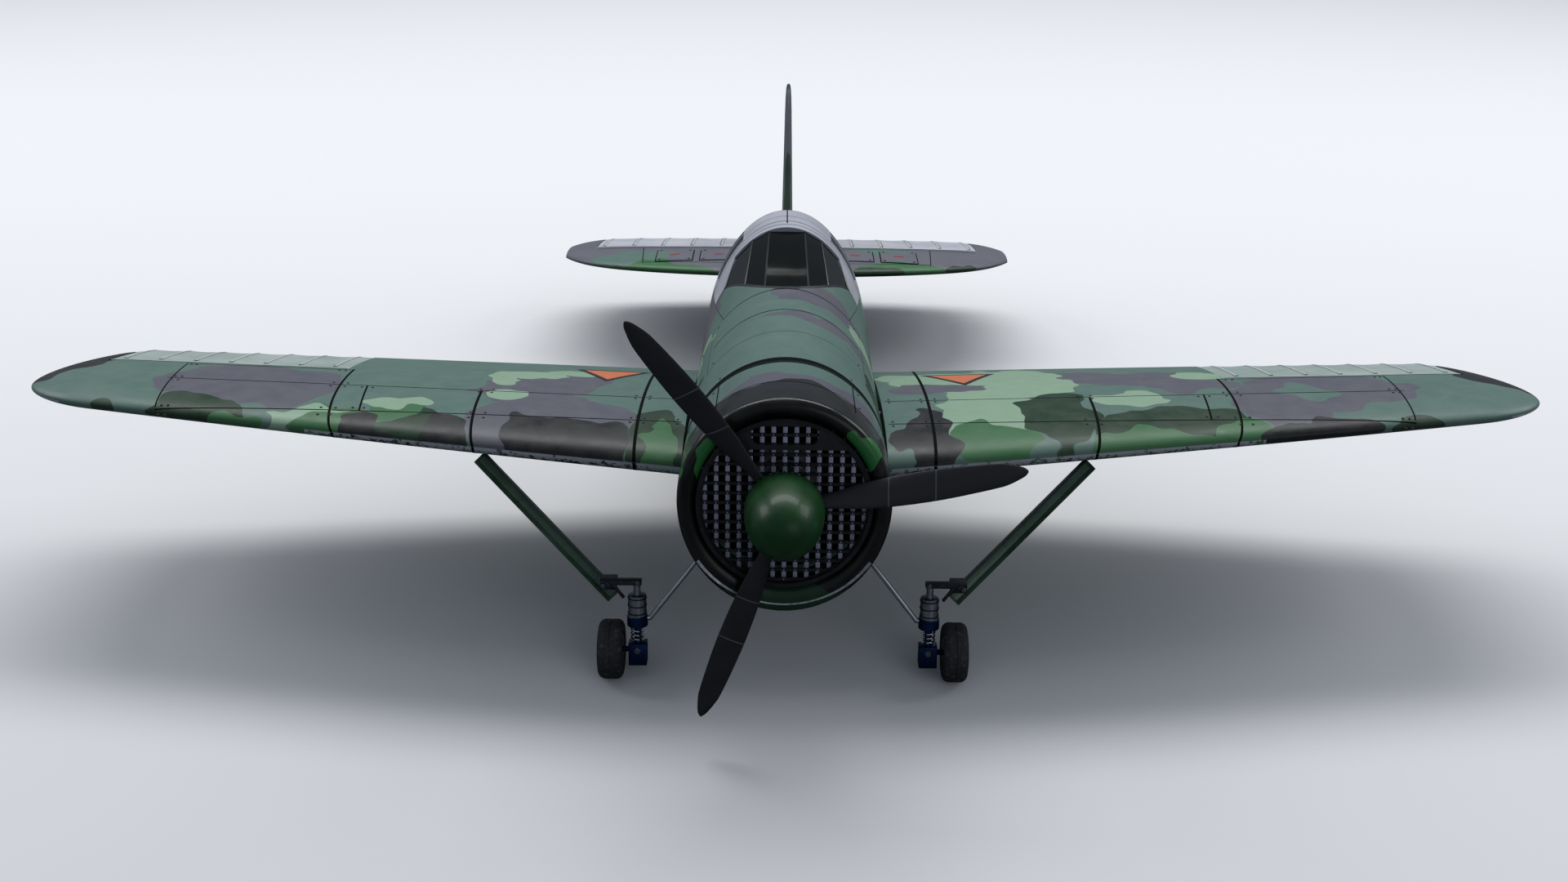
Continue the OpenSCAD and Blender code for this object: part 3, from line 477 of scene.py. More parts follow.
def camouflage(name, base, layers, worn_edge=False, roughness=0.40, dirt=0.10):
    """Enamel over foam: wandering patches from (colour, ellipses), fine dust, and a rubbed front edge."""
    material, tree, shader = finish(name, Coat_Weight=0.05, Coat_Roughness=0.22, Specular_IOR_Level=0.32)
    where = millimetres(tree)
    wander = vectors(tree, "SUBTRACT", noise(tree, where, 46, 1.5).outputs["Color"], (0.5, 0.5, 0.5))
    warped = vectors(tree, "ADD", where, vectors(tree, "SCALE", wander, 60.0))
    colour = linear(base)
    for code, patches in layers:
        colour = mixed(tree, patch_mask(tree, warped, patches), colour, linear(code))
    dust = noise(tree, where, 22, 5, 0.62, 3).outputs[0]
    colour = mixed(tree, steps(tree, dust, 0.35, 0.8, 0.0, dirt), colour, linear("#9a9b94"))
    grain = noise(tree, where, 1.6, 2, 0.6, 5).outputs[0]
    colour = mixed(tree, steps(tree, grain, 0.3, 0.7, 0.0, 0.10), colour, linear("#15181a"))
    rough = steps(tree, dust, 0.3, 0.8, roughness - 0.08, roughness + 0.16)
    if worn_edge:
        trim = put(tree, "SeparateXYZ", {0: put(tree, "UVMap").outputs[0]})
        turn = trim.outputs[0]
        below = sums(tree, "MULTIPLY", steps(tree, turn, 0.497, 0.503), steps(tree, turn, 0.60, 0.555))
        chips = noise(tree, where, 7, 6, 0.72, 9).outputs[0]
        ragged = sums(tree, "ADD", chips, steps(tree, turn, 0.50, 0.60, 0.10, -0.14))
        bare = sums(tree, "MULTIPLY", below, steps(tree, ragged, 0.50, 0.53))
        colour = mixed(tree, bare, colour, linear("#b9bfc6"))
        scars = noise(tree, where, 9, 7, 0.8, 2).outputs[0]
        nose = sums(tree, "MULTIPLY", steps(tree, turn, 0.43, 0.49), steps(tree, turn, 0.50, 0.495))
        pits = sums(tree, "MULTIPLY", nose, steps(tree, scars, 0.66, 0.69))
        colour = mixed(tree, pits, colour, linear("#8d958f"))
    tree.links.new(colour, shader.inputs["Base Color"])
    tree.links.new(rough, shader.inputs["Roughness"])
    relief(tree, shader, grain, 0.03)
    return material


def plain(name, code, second, size, rough=(0.4, 0.55), depth=0.03, grain=2.0, share=(0.35, 0.75),
          **sockets):
    """A finish whose colour wanders between two tones over size mm, with fine relief."""
    material, tree, shader = finish(name, **sockets)
    where = millimetres(tree)
    cloud = noise(tree, where, size, 5, 0.6).outputs[0]
    fine = noise(tree, where, grain, 3, 0.6, 4).outputs[0]
    colour = mixed(tree, steps(tree, cloud, *share), linear(code), linear(second))
    tree.links.new(colour, shader.inputs["Base Color"])
    tree.links.new(steps(tree, cloud, 0.3, 0.75, *rough), shader.inputs["Roughness"])
    relief(tree, shader, fine, depth)
    return material


WING_L = camouflage("satin_enamel_left_wing", TEAL, [
    (SLATE, [(-215, 296, 46, 44), (-239, 246, 58, 46), (-492, 232, 86, 66), (-205, 160, 86, 52)]),
    (PINE, [(-529, 156, 50, 40), (-620, 140, 44, 34), (-329, 132, 30, 52), (-249, 96, 24, 30),
            (-112, 126, 24, 66), (-600, 118, 60, 26)]),
    (GREEN, [(-470, 132, 66, 24), (-398, 150, 40, 24), (-352, 176, 22, 24), (-249, 104, 16, 22),
             (-110, 118, 14, 44)]),
    (INK, [(-371, 134, 24, 36), (-304, 128, 22, 44), (-194, 126, 58, 46)]),
    (SAGE, [(-268, 292, 19, 32), (-241, 316, 25, 24), (-209, 342, 24, 16), (-262, 223, 20, 15),
            (-356, 192, 26, 10), (-425, 164, 34, 9)]),
    (INK, [(-694, 318, 52, 84), (-612, 352, 46, 22)]),
], True)
WING_R = camouflage("satin_enamel_right_wing", TEAL, [
    (SLATE, [(337, 316, 76, 36), (275, 350, 50, 20), (384, 274, 46, 30), (503, 247, 78, 58),
             (446, 205, 40, 50)]),
    (SAGE, [(190, 330, 88, 70), (224, 288, 66, 46), (182, 190, 46, 84), (403, 322, 34, 20),
            (320, 226, 38, 18), (112, 352, 34, 30)]),
    (SLATE, [(145, 281, 46, 28)]),
    (PINE, [(246, 186, 40, 62), (351, 140, 74, 60), (564, 146, 26, 26), (620, 130, 40, 30)]),
    (GREEN, [(330, 122, 60, 26), (408, 132, 32, 30), (182, 130, 40, 30)]),
    (INK, [(125, 135, 24, 66), (487, 138, 62, 36)]),
    (TEAL, [(484, 236, 24, 28)]),
    (INK, [(694, 318, 52, 84), (612, 352, 46, 22)]),
], True)
FUSELAGE = camouflage("satin_enamel_fuselage", TEAL, [
    (SLATE, [(40, 316, 52, 26), (24, 246, 44, 13), (-90, 420, 40, 70), (70, 660, 60, 60),
             (-30, 600, 60, 30), (0, 800, 60, 40)]),
    (SAGE, [(80, 286, 14, 34), (-84, 300, 10, 40), (60, 470, 50, 30), (-60, 560, 40, 34),
            (-40, 730, 50, 34)]),
    (PINE, [(88, 190, 12, 60), (-88, 200, 12, 50), (84, 560, 26, 40), (-80, 660, 40, 26),
            (40, 760, 34, 26)]),
    (GREEN, [(-88, 300, 12, 60, -30, 60), (88, 420, 12, 60, -10, 60), (0, 690, 24, 20)]),
])
TAIL = camouflage("satin_enamel_tail", "#6d6e79", [
    (TEAL, [(-190, 760, 50, 26), (120, 800, 40, 20), (0, 850, 20, 60)]),
    (GREEN, [(0, 690, 330, 22), (-180, 715, 90, 26), (180, 712, 90, 26)]),
    (PINE, [(-60, 700, 60, 10), (110, 705, 40, 12), (230, 735, 30, 14), (-240, 740, 26, 12)]),
])
COWL = camouflage("gloss_enamel_cowl", "#0b0d0c", [
    (SLATE, [(0, 78, 200, 15, 80, 90)]),
    (TEAL, [(0, 106, 200, 20), (-70, 86, 30, 20)]),
    (PINE, [(88, 80, 20, 40, -10, 50), (-88, 70, 20, 50, -20, 50), (0, 14, 62, 16, -84, 14)]),
    ("#2f7a3d", [(-62, 13, 20, 12, 40, 24), (62, 13, 20, 12, 46, 22)]),
], False, 0.22, 0.04)
FIN = camouflage("satin_enamel_fin", "#2a3a34", [
    (SLATE, [(0, 880, 30, 30), (0, 830, 30, 22)]),
    (PINE, [(0, 900, 30, 20), (0, 800, 30, 20)]),
])
# Struts: dark green enamel whose tone wanders towards a paler green
STRUT = plain("strut_enamel", "#33513c", "#5d7a68", 26, (0.22, 0.4), 0.02, 2, Coat_Weight=0.3)
# Doped fabric over ribs: pale, dry, with a fine weave that only shows as a dull sheen
FABRIC = plain("doped_fabric", "#96a8a2", "#b0bab9", 60, (0.45, 0.6), 0.05, 1.2)
FABRIC_TAIL = plain("doped_fabric_tail", "#bcbeca", "#cfd1d9", 60, (0.45, 0.6), 0.05, 1.2)
# Sprayed primer-grey enamel on the canopy hood: pale lilac, slightly chalky
HOOD = plain("hood_enamel", "#b0b3c0", "#c2c4ce", 40, (0.35, 0.5), 0.03, 2)
DARK_ENAMEL = plain("dark_satin_enamel", "#16191b", "#23282a", 25, (0.3, 0.5), 0.03, 2)
# Tinted acrylic: almost black, mirror smooth
ACRYLIC = plain("tinted_acrylic", "#060807", "#0b110d", 30, (0.04, 0.09), 0.0, 4, Coat_Weight=0.1,
                Coat_Roughness=0.04, Specular_IOR_Level=0.22)
# Deep green lacquer over a spun aluminium spinner
LACQUER = plain("green_lacquer", "#06350f", "#0a4517", 20, (0.36, 0.46), 0.01, 2, Coat_Weight=0.12,
                Coat_Roughness=0.1, Specular_IOR_Level=0.3)
# Glass-filled nylon blades: matte charcoal, faintly mottled
NYLON = plain("filled_nylon", "#17181b", "#22242a", 16, (0.5, 0.66), 0.05, 1.5)
STRIPE = plain("pale_stripe_paint", "#5d6267", "#4a4e53", 6, (0.5, 0.6), 0.02, 2)
# Folded aluminium slats, lilac by anodising
SLATS = plain("anodised_slats", "#b9b9d2", "#9495ae", 9, (0.3, 0.45), 0.05, 3, Metallic=0.2)
BARS = plain("black_anodised_bars", "#15161a", "#2a2b31", 6, (0.35, 0.5), 0.03, 2, Metallic=0.4)
STEEL = plain("turned_steel", "#7b7f85", "#5c6066", 5, (0.24, 0.4), 0.02, 1, Metallic=0.95)
GUNMETAL = plain("blackened_steel", "#2c2f33", "#43474d", 6, (0.32, 0.5), 0.03, 1.5, Metallic=0.8)
CHROME = plain("polished_chrome", "#d5d7dc", "#b4b7bd", 20, (0.06, 0.13), 0.005, 2, Metallic=1.0)
BLUE = plain("blue_anodised_aluminium", "#12305f", "#0b2144", 8, (0.28, 0.42), 0.02, 1.5, Metallic=0.8)
# Dusty rubber: dark, with pale scuffs where it rolls
RUBBER = plain("dusty_rubber", "#26272a", "#68686c", 5, (0.7, 0.85), 0.12, 1.4, (0.52, 0.85))
PLYWOOD = plain("birch_plywood", "#b08d5c", "#8f6d42", 12, (0.55, 0.7), 0.05, 1.5)
ABS = plain("black_abs", "#15171a", "#202327", 14, (0.42, 0.55), 0.03, 1.5)
ALUMINIUM = plain("machined_aluminium", "#a5a8ad", "#85888e", 6, (0.25, 0.38), 0.02, 1, Metallic=0.95)
# Plywood coloured black as painted shade, so that nothing shows behind the intake
FIREWALL_SHADE_BLACK = plain("black_plywood_painted_shade", "#0c0c0d", "#17161a", 14, (0.5, 0.7), 0.05, 1.5)
SLEEVE = plain("shrink_sleeve", "#1c3f75", "#274f8c", 30, (0.3, 0.42), 0.05, 6)
CARBON = plain("woven_carbon", "#0d0e10", "#26282c", 2.5, (0.25, 0.35), 0.03, 1.5, Coat_Weight=0.5)
LEATHER = plain("seat_leather", "#5b3a22", "#3f2817", 9, (0.5, 0.65), 0.1, 1.6)
BRASS = plain("turned_brass", "#b08d4a", "#8f7038", 5, (0.25, 0.35), 0.02, 1, Metallic=0.95)
# Shadow line between panels: dull black sealant; the same black is also painted shade in the gap behind the cowl
# and in the dark plates round the tail covers
SEALANT_AND_SHADE = plain("joint_sealant_and_painted_shade", "#050506", "#0b0c0d", 12, (0.85, 0.95), 0.03, 2, Specular_IOR_Level=0.1)
# Tapes over the ribs: pale, and also a painted highlight along each rib's ridge, with a strip of painted shade
# beside each
RIB_TAPE_AND_HIGHLIGHT = plain("rib_tape_and_painted_highlight", "#cfd6d4", "#b9c2c2", 12, (0.5, 0.6), 0.03, 1.5)
# Dark strip beside each rib tape: painted shade on the shaded side of the rib's ridge
RIB_SIDE_SHADE = plain("rib_shadow_grime", "#414b49", "#535e5b", 10, (0.7, 0.8), 0.02, 2)
# Pale metal at the cowl's lower rim: partly rubbed bare metal, partly a painted highlight along the rolled lip
BARE_METAL_AND_HIGHLIGHT = plain("rubbed_metal_and_painted_highlight", "#b3b9bd", "#7c8388", 5, (0.3, 0.5), 0.05, 2, (0.35, 0.7), Metallic=0.6)
ORANGE = plain("orange_marking_paint", "#e08158", "#d0704a", 9, (0.4, 0.55), 0.03, 2)
RED_DASH = plain("red_marking_paint", "#a83236", "#7f2a2e", 4, (0.45, 0.55), 0.03, 2)

# ---- fuselage ----


def fuselage_spot(u, v):
    if v > 0.999:
        return 0, TAIL_END, 36
    y = FIREWALL + (TAIL_END - FIREWALL) * min(1, v / 0.99)
    x, y, z = body_point(y, 360 * u)
    if CANOPY_REAR - 8 < y < DECK_END and z > SILL - DECK_EDGE:
        sink = DECK_SINK * min(1, (z - SILL + DECK_EDGE) / DECK_EDGE) * min(1, (DECK_END - y) / 60)
        x, y, z = body_point(y, 360 * u, -sink)
    return x, y, z


fuselage = laid_skin("fuselage_moulding", 120, 132, fuselage_spot)
split(fuselage, *planes(1, HATCH_FRONT, SCREEN_BASE, CANOPY_REAR), *planes(0, HATCH_HALF, -HATCH_HALF),
      *planes(2, SILL))
drop_faces(fuselage, lambda x, y, z: z > 0 and abs(x) < HATCH_HALF and HATCH_FRONT < y < SCREEN_BASE
           or z > SILL and SCREEN_BASE < y < CANOPY_REAR)
thicken(fuselage, 4)
stands_for(fuselage, FUSELAGE, "fuselage_shell")

hatch = laid_skin("hatch_moulding", 160, 40, lambda u, v: body_point(
    HATCH_FRONT + SEAM + (SCREEN_BASE - HATCH_FRONT - 2 * SEAM) * v, 130 * u - 65))
edge = HATCH_HALF - SEAM
split(hatch, *planes(0, edge, -edge))
drop_faces(hatch, lambda x, y, z: abs(x) > edge)
thicken(hatch, 4)
stands_for(hatch, FUSELAGE, "top_hatch")


def on_body(x, y, lift):
    return body_top(x, y, lift)


def hoop(name, y, width, reach, lift=0.12):
    """A band round the body at station y, from turn angle -reach to reach."""
    return laid_skin(name, 90, 1, lambda u, v: body_point(
        y + width * (v - 0.5), -reach + 2 * reach * u, lift))


# The first, wide band just behind the cowl is painted shade standing in for the dark gap there; the others are
# seams
seams = [hoop("seam", FIREWALL + 4, 8, 118), hoop("seam", 700, 1.2, 150), hoop("seam", 790, 1.2, 150),
         hoop("seam", 800, 1.0, 150), hoop("seam", 610, 1.0, 130, -3.1)]
for side in (-1, 1):
    for turn in (92, 128):
        seams.append(laid_skin("seam", 1, 60, lambda u, v: body_point(
            130 + 560 * v, side * (turn + 0.7 * (u - 0.5)), 0.12)))
fitted(joined("fuselage_seams_and_gap_shade", seams), SEALANT_AND_SHADE)
fitted(hoop("hatch_seam", 256, 1.5, 50), SEALANT_AND_SHADE, "hatch")


def body_screws(y, *turns):
    spots = [body_point(y, turn) for turn in turns]
    return [(p, (p[0] / HALF_W, 0, (p[2] - fair(CENTRE_LINE, y)) / 100)) for p in spots]


fitted(screw_heads("fuselage_screws", body_screws(132, -75, -40, 40, 75) + body_screws(186, -62, 62)
                   + body_screws(322, -66, 66) + body_screws(706, -80, -40, 40, 80)),
       GUNMETAL, "airframe")
fitted(screw_heads("hatch_screws", body_screws(200, -48, 48) + body_screws(322, -48, 48)),
       GUNMETAL, "hatch")

# ---- engine cowl: rolled lip, open front ----

LIP_R, LIP_Y, ROLL, COWL_REAR = 72, 16, 8, 112


def cowl_spot(u, v):
    turn = 360 * u
    q = radians(turn)
    inner = (LIP_R * sin(q), LIP_R * cos(q))
    if v < 0.45:
        y = COWL_REAR - (COWL_REAR - LIP_Y) * v / 0.45
        return body_point(y, turn, -0.6 * max(0, 1 - (y - LIP_Y) / 20))
    ox, _, oz = body_point(LIP_Y, turn, -0.6)
    if v < 0.75:
        roll = pi * (v - 0.45) / 0.3
        share = (1 - cos(roll)) / 2
        return ox + (inner[0] - ox) * share, LIP_Y - ROLL * sin(roll), oz + (inner[1] - oz) * share
    back = (v - 0.75) / 0.25
    y = LIP_Y + (COWL_REAR - 1 - LIP_Y) * back
    bx, _, bz = body_point(y, turn, -2.5)
    ease = min(1, back * 3)
    return inner[0] + (bx - inner[0]) * ease, y, inner[1] + (bz - inner[1]) * ease


cowl = laid_skin("cowl_moulding", 128, 60, cowl_spot)
stands_for(cowl, COWL, "engine_cowl")
cowl_lines = [strip("seam", on_body, (x, 40), (x, COWL_REAR), 0.9) for x in (-57, 57)]
cowl_lines.append(hoop("seam", 58, 1.0, 110))
fitted(joined("cowl_seams", cowl_lines), SEALANT_AND_SHADE, "airframe")
fitted(screw_heads("cowl_screws", body_screws(104, -70, -44, 44, 70) + body_screws(66, -44, 44)),
       GUNMETAL, "airframe")


def rim_spot(u, v):
    turn = radians(125 + 110 * u)
    radius = 1.06 * (LIP_R + 6 + 4 * sin(pi * v))
    return (radius * sin(turn), LIP_Y - ROLL - 0.25 + 3 * (1 - sin(pi * (0.15 + 0.7 * v))),
            radius * cos(turn))


# A pale band along the lower front of the cowl lip: partly worn metal, partly painted highlight
rim = laid_skin("cowl_lower_rim", 60, 6, rim_spot)

# ---- intake lattice ----

INTAKE_R, RIVETS_R = 70.5, 66
SLAT_X = [9.2 * i for i in range(-7, 8)]
BAR_Z = [8.2 * i for i in range(-8, 9)]

slats = joined("intake_slats", [block("slat", (3.8, 3.0, 2 * sqrt(INTAKE_R**2 - x * x)), (x, 15, 0))
                                for x in SLAT_X])
rounded(slats, 0.7)
bars, rivets = [], []
for z in BAR_Z:
    bars.append(block("bar", (2 * sqrt(INTAKE_R**2 - z * z), 2.2, 2.5), (0, 12.5, z)))
    for x in SLAT_X:
        if x * x + z * z < RIVETS_R**2:
            rivets.append(turned("rivet", [(0, 0), (0.75, 0), (0.55, 0.6), (0, 0.75)],
                                 (x, 11.5, z), (0, -1, 0), 8))
ring = turned("ring", [(66.8, -3.5), (70.6, -3.5), (70.6, 3.5), (66.8, 3.5)], (0, 15.5, 0), (0, 1, 0), 96)
face = turned("face", [(68.1, -2), (71.6, -2), (71.6, 2), (68.1, 2)], (0, 10, 0), (0, 1, 0), 96)
BROW_HALF, BROW_LOW, BROW_R = 54, 46, 71.4
SLOT_HALF, SLOT_LOW, SLOT_HIGH = 19, 50, 66  # the slot with round ends in the brow


def brow_spot(u, v):
    x = BROW_HALF * (2 * u - 1)
    rise = sqrt(max(BROW_R**2 - x**2, (BROW_LOW + 0.01)**2)) - BROW_LOW
    return x, 8.2, BROW_LOW + v * rise


def in_slot(x, y, z):
    end, radius = (SLOT_LOW + SLOT_HIGH) / 2, (SLOT_HIGH - SLOT_LOW) / 2
    return SLOT_LOW < z < SLOT_HIGH and (
        abs(x) < SLOT_HALF or (abs(x) - SLOT_HALF)**2 + (z - end)**2 < radius**2)


brow = laid_skin("brow", 64, 14, brow_spot)
split(brow, *planes(0, -27, -SLOT_HALF, SLOT_HALF, 27), *planes(2, SLOT_LOW, SLOT_HIGH))
drop_faces(brow, in_slot)
thicken(brow, 3)
stands_for(slats, SLATS, "cowl_grille")
fitted(joined("intake_bars", bars + [ring, face]), BARS, "airframe")
fitted(brow, DARK_ENAMEL, "airframe")
fitted(joined("intake_rivets", rivets), CHROME, "airframe")
fitted(rim, BARE_METAL_AND_HIGHLIGHT, "airframe")

# ---- windscreen and sliding hood ----

GLASS_END, GLASS_LOW, GLASS_HIGH = 438, 64, 54
CURVE = 0.0163  # how fast the foot of the screen sweeps aft with the distance from the middle


def screen_turn(y, share):
    """Turn angle at which the section at y meets the sill, times share."""
    middle = fair(CENTRE_LINE, y)
    rise = fair(TOP_LINE, y) - middle
    return share * degrees(acos(min(1, (SILL + 0.6 - middle) / rise)))


def screen_foot(x):
    return SCREEN_BASE + 1 + CURVE * x * x


def screen_spot(k, v, off):
    """A point of the glass: k runs from -1 to 1 across, v from its foot to its rear edge."""
    foot = screen_foot(GLASS_LOW * k)
    return body_top(k * (GLASS_LOW + (GLASS_HIGH - GLASS_LOW) * v), foot + (GLASS_END - foot) * v, off)


FACETS = (-1, -0.66, -0.34, 0.34, 0.66, 1)
glass = laid_skin("screen_glass", 5, 12, lambda u, v: screen_spot(FACETS[round(u * 5)], v, -1.3), 4)
thicken(glass, 1.2, 4)
stands_for(glass, ACRYLIC, "windscreen_glass")
rails = [laid_skin("rail", 2, 24, lambda u, v: screen_spot(
    k + 0.014 * (2 * u - 1), v, -0.3 if abs(u - 0.5) < 0.2 else -1.1), 20) for k in FACETS]
rails.append(laid_skin("foot", 60, 2, lambda u, v: body_top(
    GLASS_LOW * (2 * u - 1), screen_foot(GLASS_LOW * (2 * u - 1)) - 0.5 + 5 * v, -0.15)))
rails = joined("screen_rails", rails)
thicken(rails, 5)
stands_for(rails, DARK_ENAMEL, "windscreen_frame")
cheeks, cheek_seams, sides = [], [], []
for side in (-1, 1):
    def beside(u, y, x, side=side):
        """From x on the section at y (u = 0) down to the sill (u = 1)."""
        start = degrees(asin(x / HALF_W))
        return body_point(y, side * (start + (screen_turn(y, 1) - start) * u), 0)

    def cheek_spot(u, v):
        y = screen_foot(0) + (screen_foot(GLASS_LOW) - screen_foot(0)) * v
        return beside(u, y, sqrt((y - screen_foot(0)) / CURVE))

    def side_spot(u, v):
        y = screen_foot(GLASS_LOW) + (GLASS_END - screen_foot(GLASS_LOW)) * v
        return beside(u, y, GLASS_LOW + (GLASS_HIGH - GLASS_LOW) * v)

    cheeks.append(laid_skin("cheek", 16, 24, cheek_spot))
    sides.append(laid_skin("side", 12, 16, side_spot))
    cheek_seams.append(laid_skin("seam", 1, 12, lambda u, v: body_point(
        screen_foot(GLASS_LOW) + 1.1 * (u - 0.5), side * (44 + 10 * v), 0.12)))
sides.append(laid_skin("arch", 90, 4, lambda u, v: body_point(
    GLASS_END + 6.5 * v, screen_turn(GLASS_END + 6.5 * v, 2 * u - 1), 0)))
cheek = joined("screen_cheeks", cheeks)
thicken(cheek, 2.4)
fitted(cheek, FUSELAGE)
arch = joined("screen_arch", sides)
thicken(arch, 5)
fitted(arch, HOOD)
fitted(joined("cheek_seams", cheek_seams), SEALANT_AND_SHADE)



def hood_spot(u, v):
    y = SCREEN_TOP + SEAM + (CANOPY_REAR - SCREEN_TOP - 2 * SEAM) * v
    return body_point(y, screen_turn(y, 2 * u - 1))


WINDOWS = (460, 497), (501, 538)  # two on each side
WINDOW_LOW, WINDOW_HIGH = SILL + 8, SILL + 56
hood = laid_skin("hood_moulding", 140, 50, hood_spot)
split(hood, *planes(1, *WINDOWS[0], *WINDOWS[1]), *planes(2, WINDOW_LOW, WINDOW_HIGH))
drop_faces(hood, lambda x, y, z: WINDOW_LOW < z < WINDOW_HIGH and any(a < y < b for a, b in WINDOWS))
thicken(hood, 2.5)
stands_for(hood, HOOD, "sliding_canopy")
windows = []
for side in (-1, 1):
    windows.append(laid_skin("pane", 30, 20, lambda u, v: body_point(
        458 + 82 * v, side * (screen_turn(458 + 82 * v, 0.97) * (1 - u) + 26 * u), -1.2)))
panes = joined("hood_windows", windows)
thicken(panes, 0.8)
stands_for(panes, ACRYLIC, "canopy_glass")
fitted(joined("hood_seams", [
    hoop("seam", 454, 1.0, 58), hoop("seam", 478, 0.8, 40), hoop("seam", 519, 0.8, 30),
    laid_skin("seam", 1, 40, lambda u, v: body_point(448 + 96 * v, 0.8 * (u - 0.5), 0.12))]),
    SEALANT_AND_SHADE, "canopy")

# ---- wings ----

LIP = 3.5  # how far the fixed surface stops ahead of a hinge line
COVE_GAP = 1.3  # room between the round nose of a flap and its hollow


def section_ring(u, point, hinge=None, limit=1.0, radius=0.0):
    """One closed section: the skin back to limit, or to a hollow around the hinge at (x, y, z)."""
    if hinge is None:
        return point(limit * (1 + cos(2 * pi * u)) / 2, u < 0.5, 0)
    if u < 0.42:
        return point(limit * (1 + cos(pi * u / 0.42)) / 2, True, 0)
    if u < 0.84:
        return point(limit * (1 - cos(pi * (u - 0.42) / 0.42)) / 2, False, 0)
    reach = radius + COVE_GAP
    a = asin(LIP / reach)
    q = pi - a + (2 * a - pi) * (u - 0.84) / 0.16
    return hinge[0], hinge[1] - reach * sin(q), hinge[2] + reach * cos(q)


def flap_ring(u, point, hinge_c, rise, scallop):
    """One closed section of a ribbed flap with a round nose; rise is the relief of the fabric."""
    if 0.4 <= u <= 0.6:
        q = pi * (u - 0.4) / 0.2
        x, y, top = point(hinge_c, True, min(rise, 0))
        low = point(hinge_c, False, min(rise, 0))[2]
        return x, y - (top - low) / 2 * sin(q), (top + low) / 2 + (top - low) / 2 * cos(q)
    back = 1 - u / 0.4 if u < 0.4 else (u - 0.6) / 0.4
    c = hinge_c + (1 - hinge_c) * back
    ease = min(1, (1 - back) * 6)
    lift = rise * min(1, back * 8) * (max(0.5, ease) if rise > 0 else ease)
    x, y, z = point(c, u < 0.4, lift)
    return x, y - scallop * max(0, back - 0.85) / 0.15, z


def relief_at(x, ribs, pitch):
    """Ridge over each rib and sag between them, with the notch that the sag makes in the rear edge."""
    gap = min(abs(x - r) for r in ribs)
    sag = sin(min(1, 2 * gap / pitch) * pi / 2) ** 2
    return 1.1 * exp(-((gap / 2.0) ** 2)) - 0.9 * sag, 2.2 * sag


def capped(v, along):
    """Row position along a closed loft whose first and last rows are its end caps."""
    return max(0.0, min(1.0, (v * along - 1) / (along - 2)))


def rib_bands(name, body, side, ribs, point, share, first, last, bands):
    """Raised bands over the ribs of a flap; bands lists (label, material, start, width, height)."""
    for label, material, start, width, height in bands:
        made = [laid_skin("band", 1, 24, lambda u, v: mirrored(side, point(
            rib + start + width * (u - 0.5), share(rib) + first + (last - share(rib)) * v, top,
            height * (1 if v < 0.8 else 1 - 2.4 * (v - 0.8))))) for rib in ribs for top in (True, False)]
        fitted(joined(name.format(label), made), material, body)


def panel_skin(name, side, x0, x1, hinged=False, close_tip=False, around=80, along=40):
    """A closed wing panel between x0 and x1."""

    def spot(u, v):
        step = capped(v, along)
        x = x0 + (x1 - x0) * (sin(pi / 2 * step) if close_tip else step)
        front, rear = wing_edges(x)
        if v < 0.001 or v > 0.999:
            _, py, pz = wing_point(x, 0.3, True)
            return side * x, py, pz - 8

        def point(c, top, lift):
            return wing_point(x, c, top, lift)

        if not hinged:
            return mirrored(side, section_ring(u, point))
        share = aileron_share(x)
        radius = (point(share, True, 0)[2] - point(share, False, 0)[2]) / 2
        hinge = x, *aileron_pivot(x)
        return mirrored(side, section_ring(u, point, hinge, share - LIP / (rear - front), radius))

    return laid_skin(name, around, along, spot)


# Beside each joint of the wing skin, from the root outwards, as (x, y)
WING_SCREWS = (
    (126, 236), (139, 236), (126, 226), (139, 226), (126, 169), (138, 169), (126, 159), (138, 159),
    (272, 236), (284, 236), (284, 226), (272, 226), (268, 169), (281, 169), (268, 159), (281, 159),
    (408, 238), (421, 238), (421, 226), (408, 226), (402, 171), (415, 171), (404, 159), (415, 159),
    (382, 226), (392, 226), (377, 172), (387, 172), (424, 291), (430, 291), (566, 288), (571, 288),
    (562, 238), (568, 238), (562, 227), (568, 227), (552, 172), (558, 172), (552, 162), (558, 162),
    (96, 236), (96, 226), (96, 169), (96, 159))
STRUT_X = 280
MARK_X, MARK_Y, MARK_HALF, MARK_REAR, MARK_LENGTH = 174, 349, 38, 27, 80

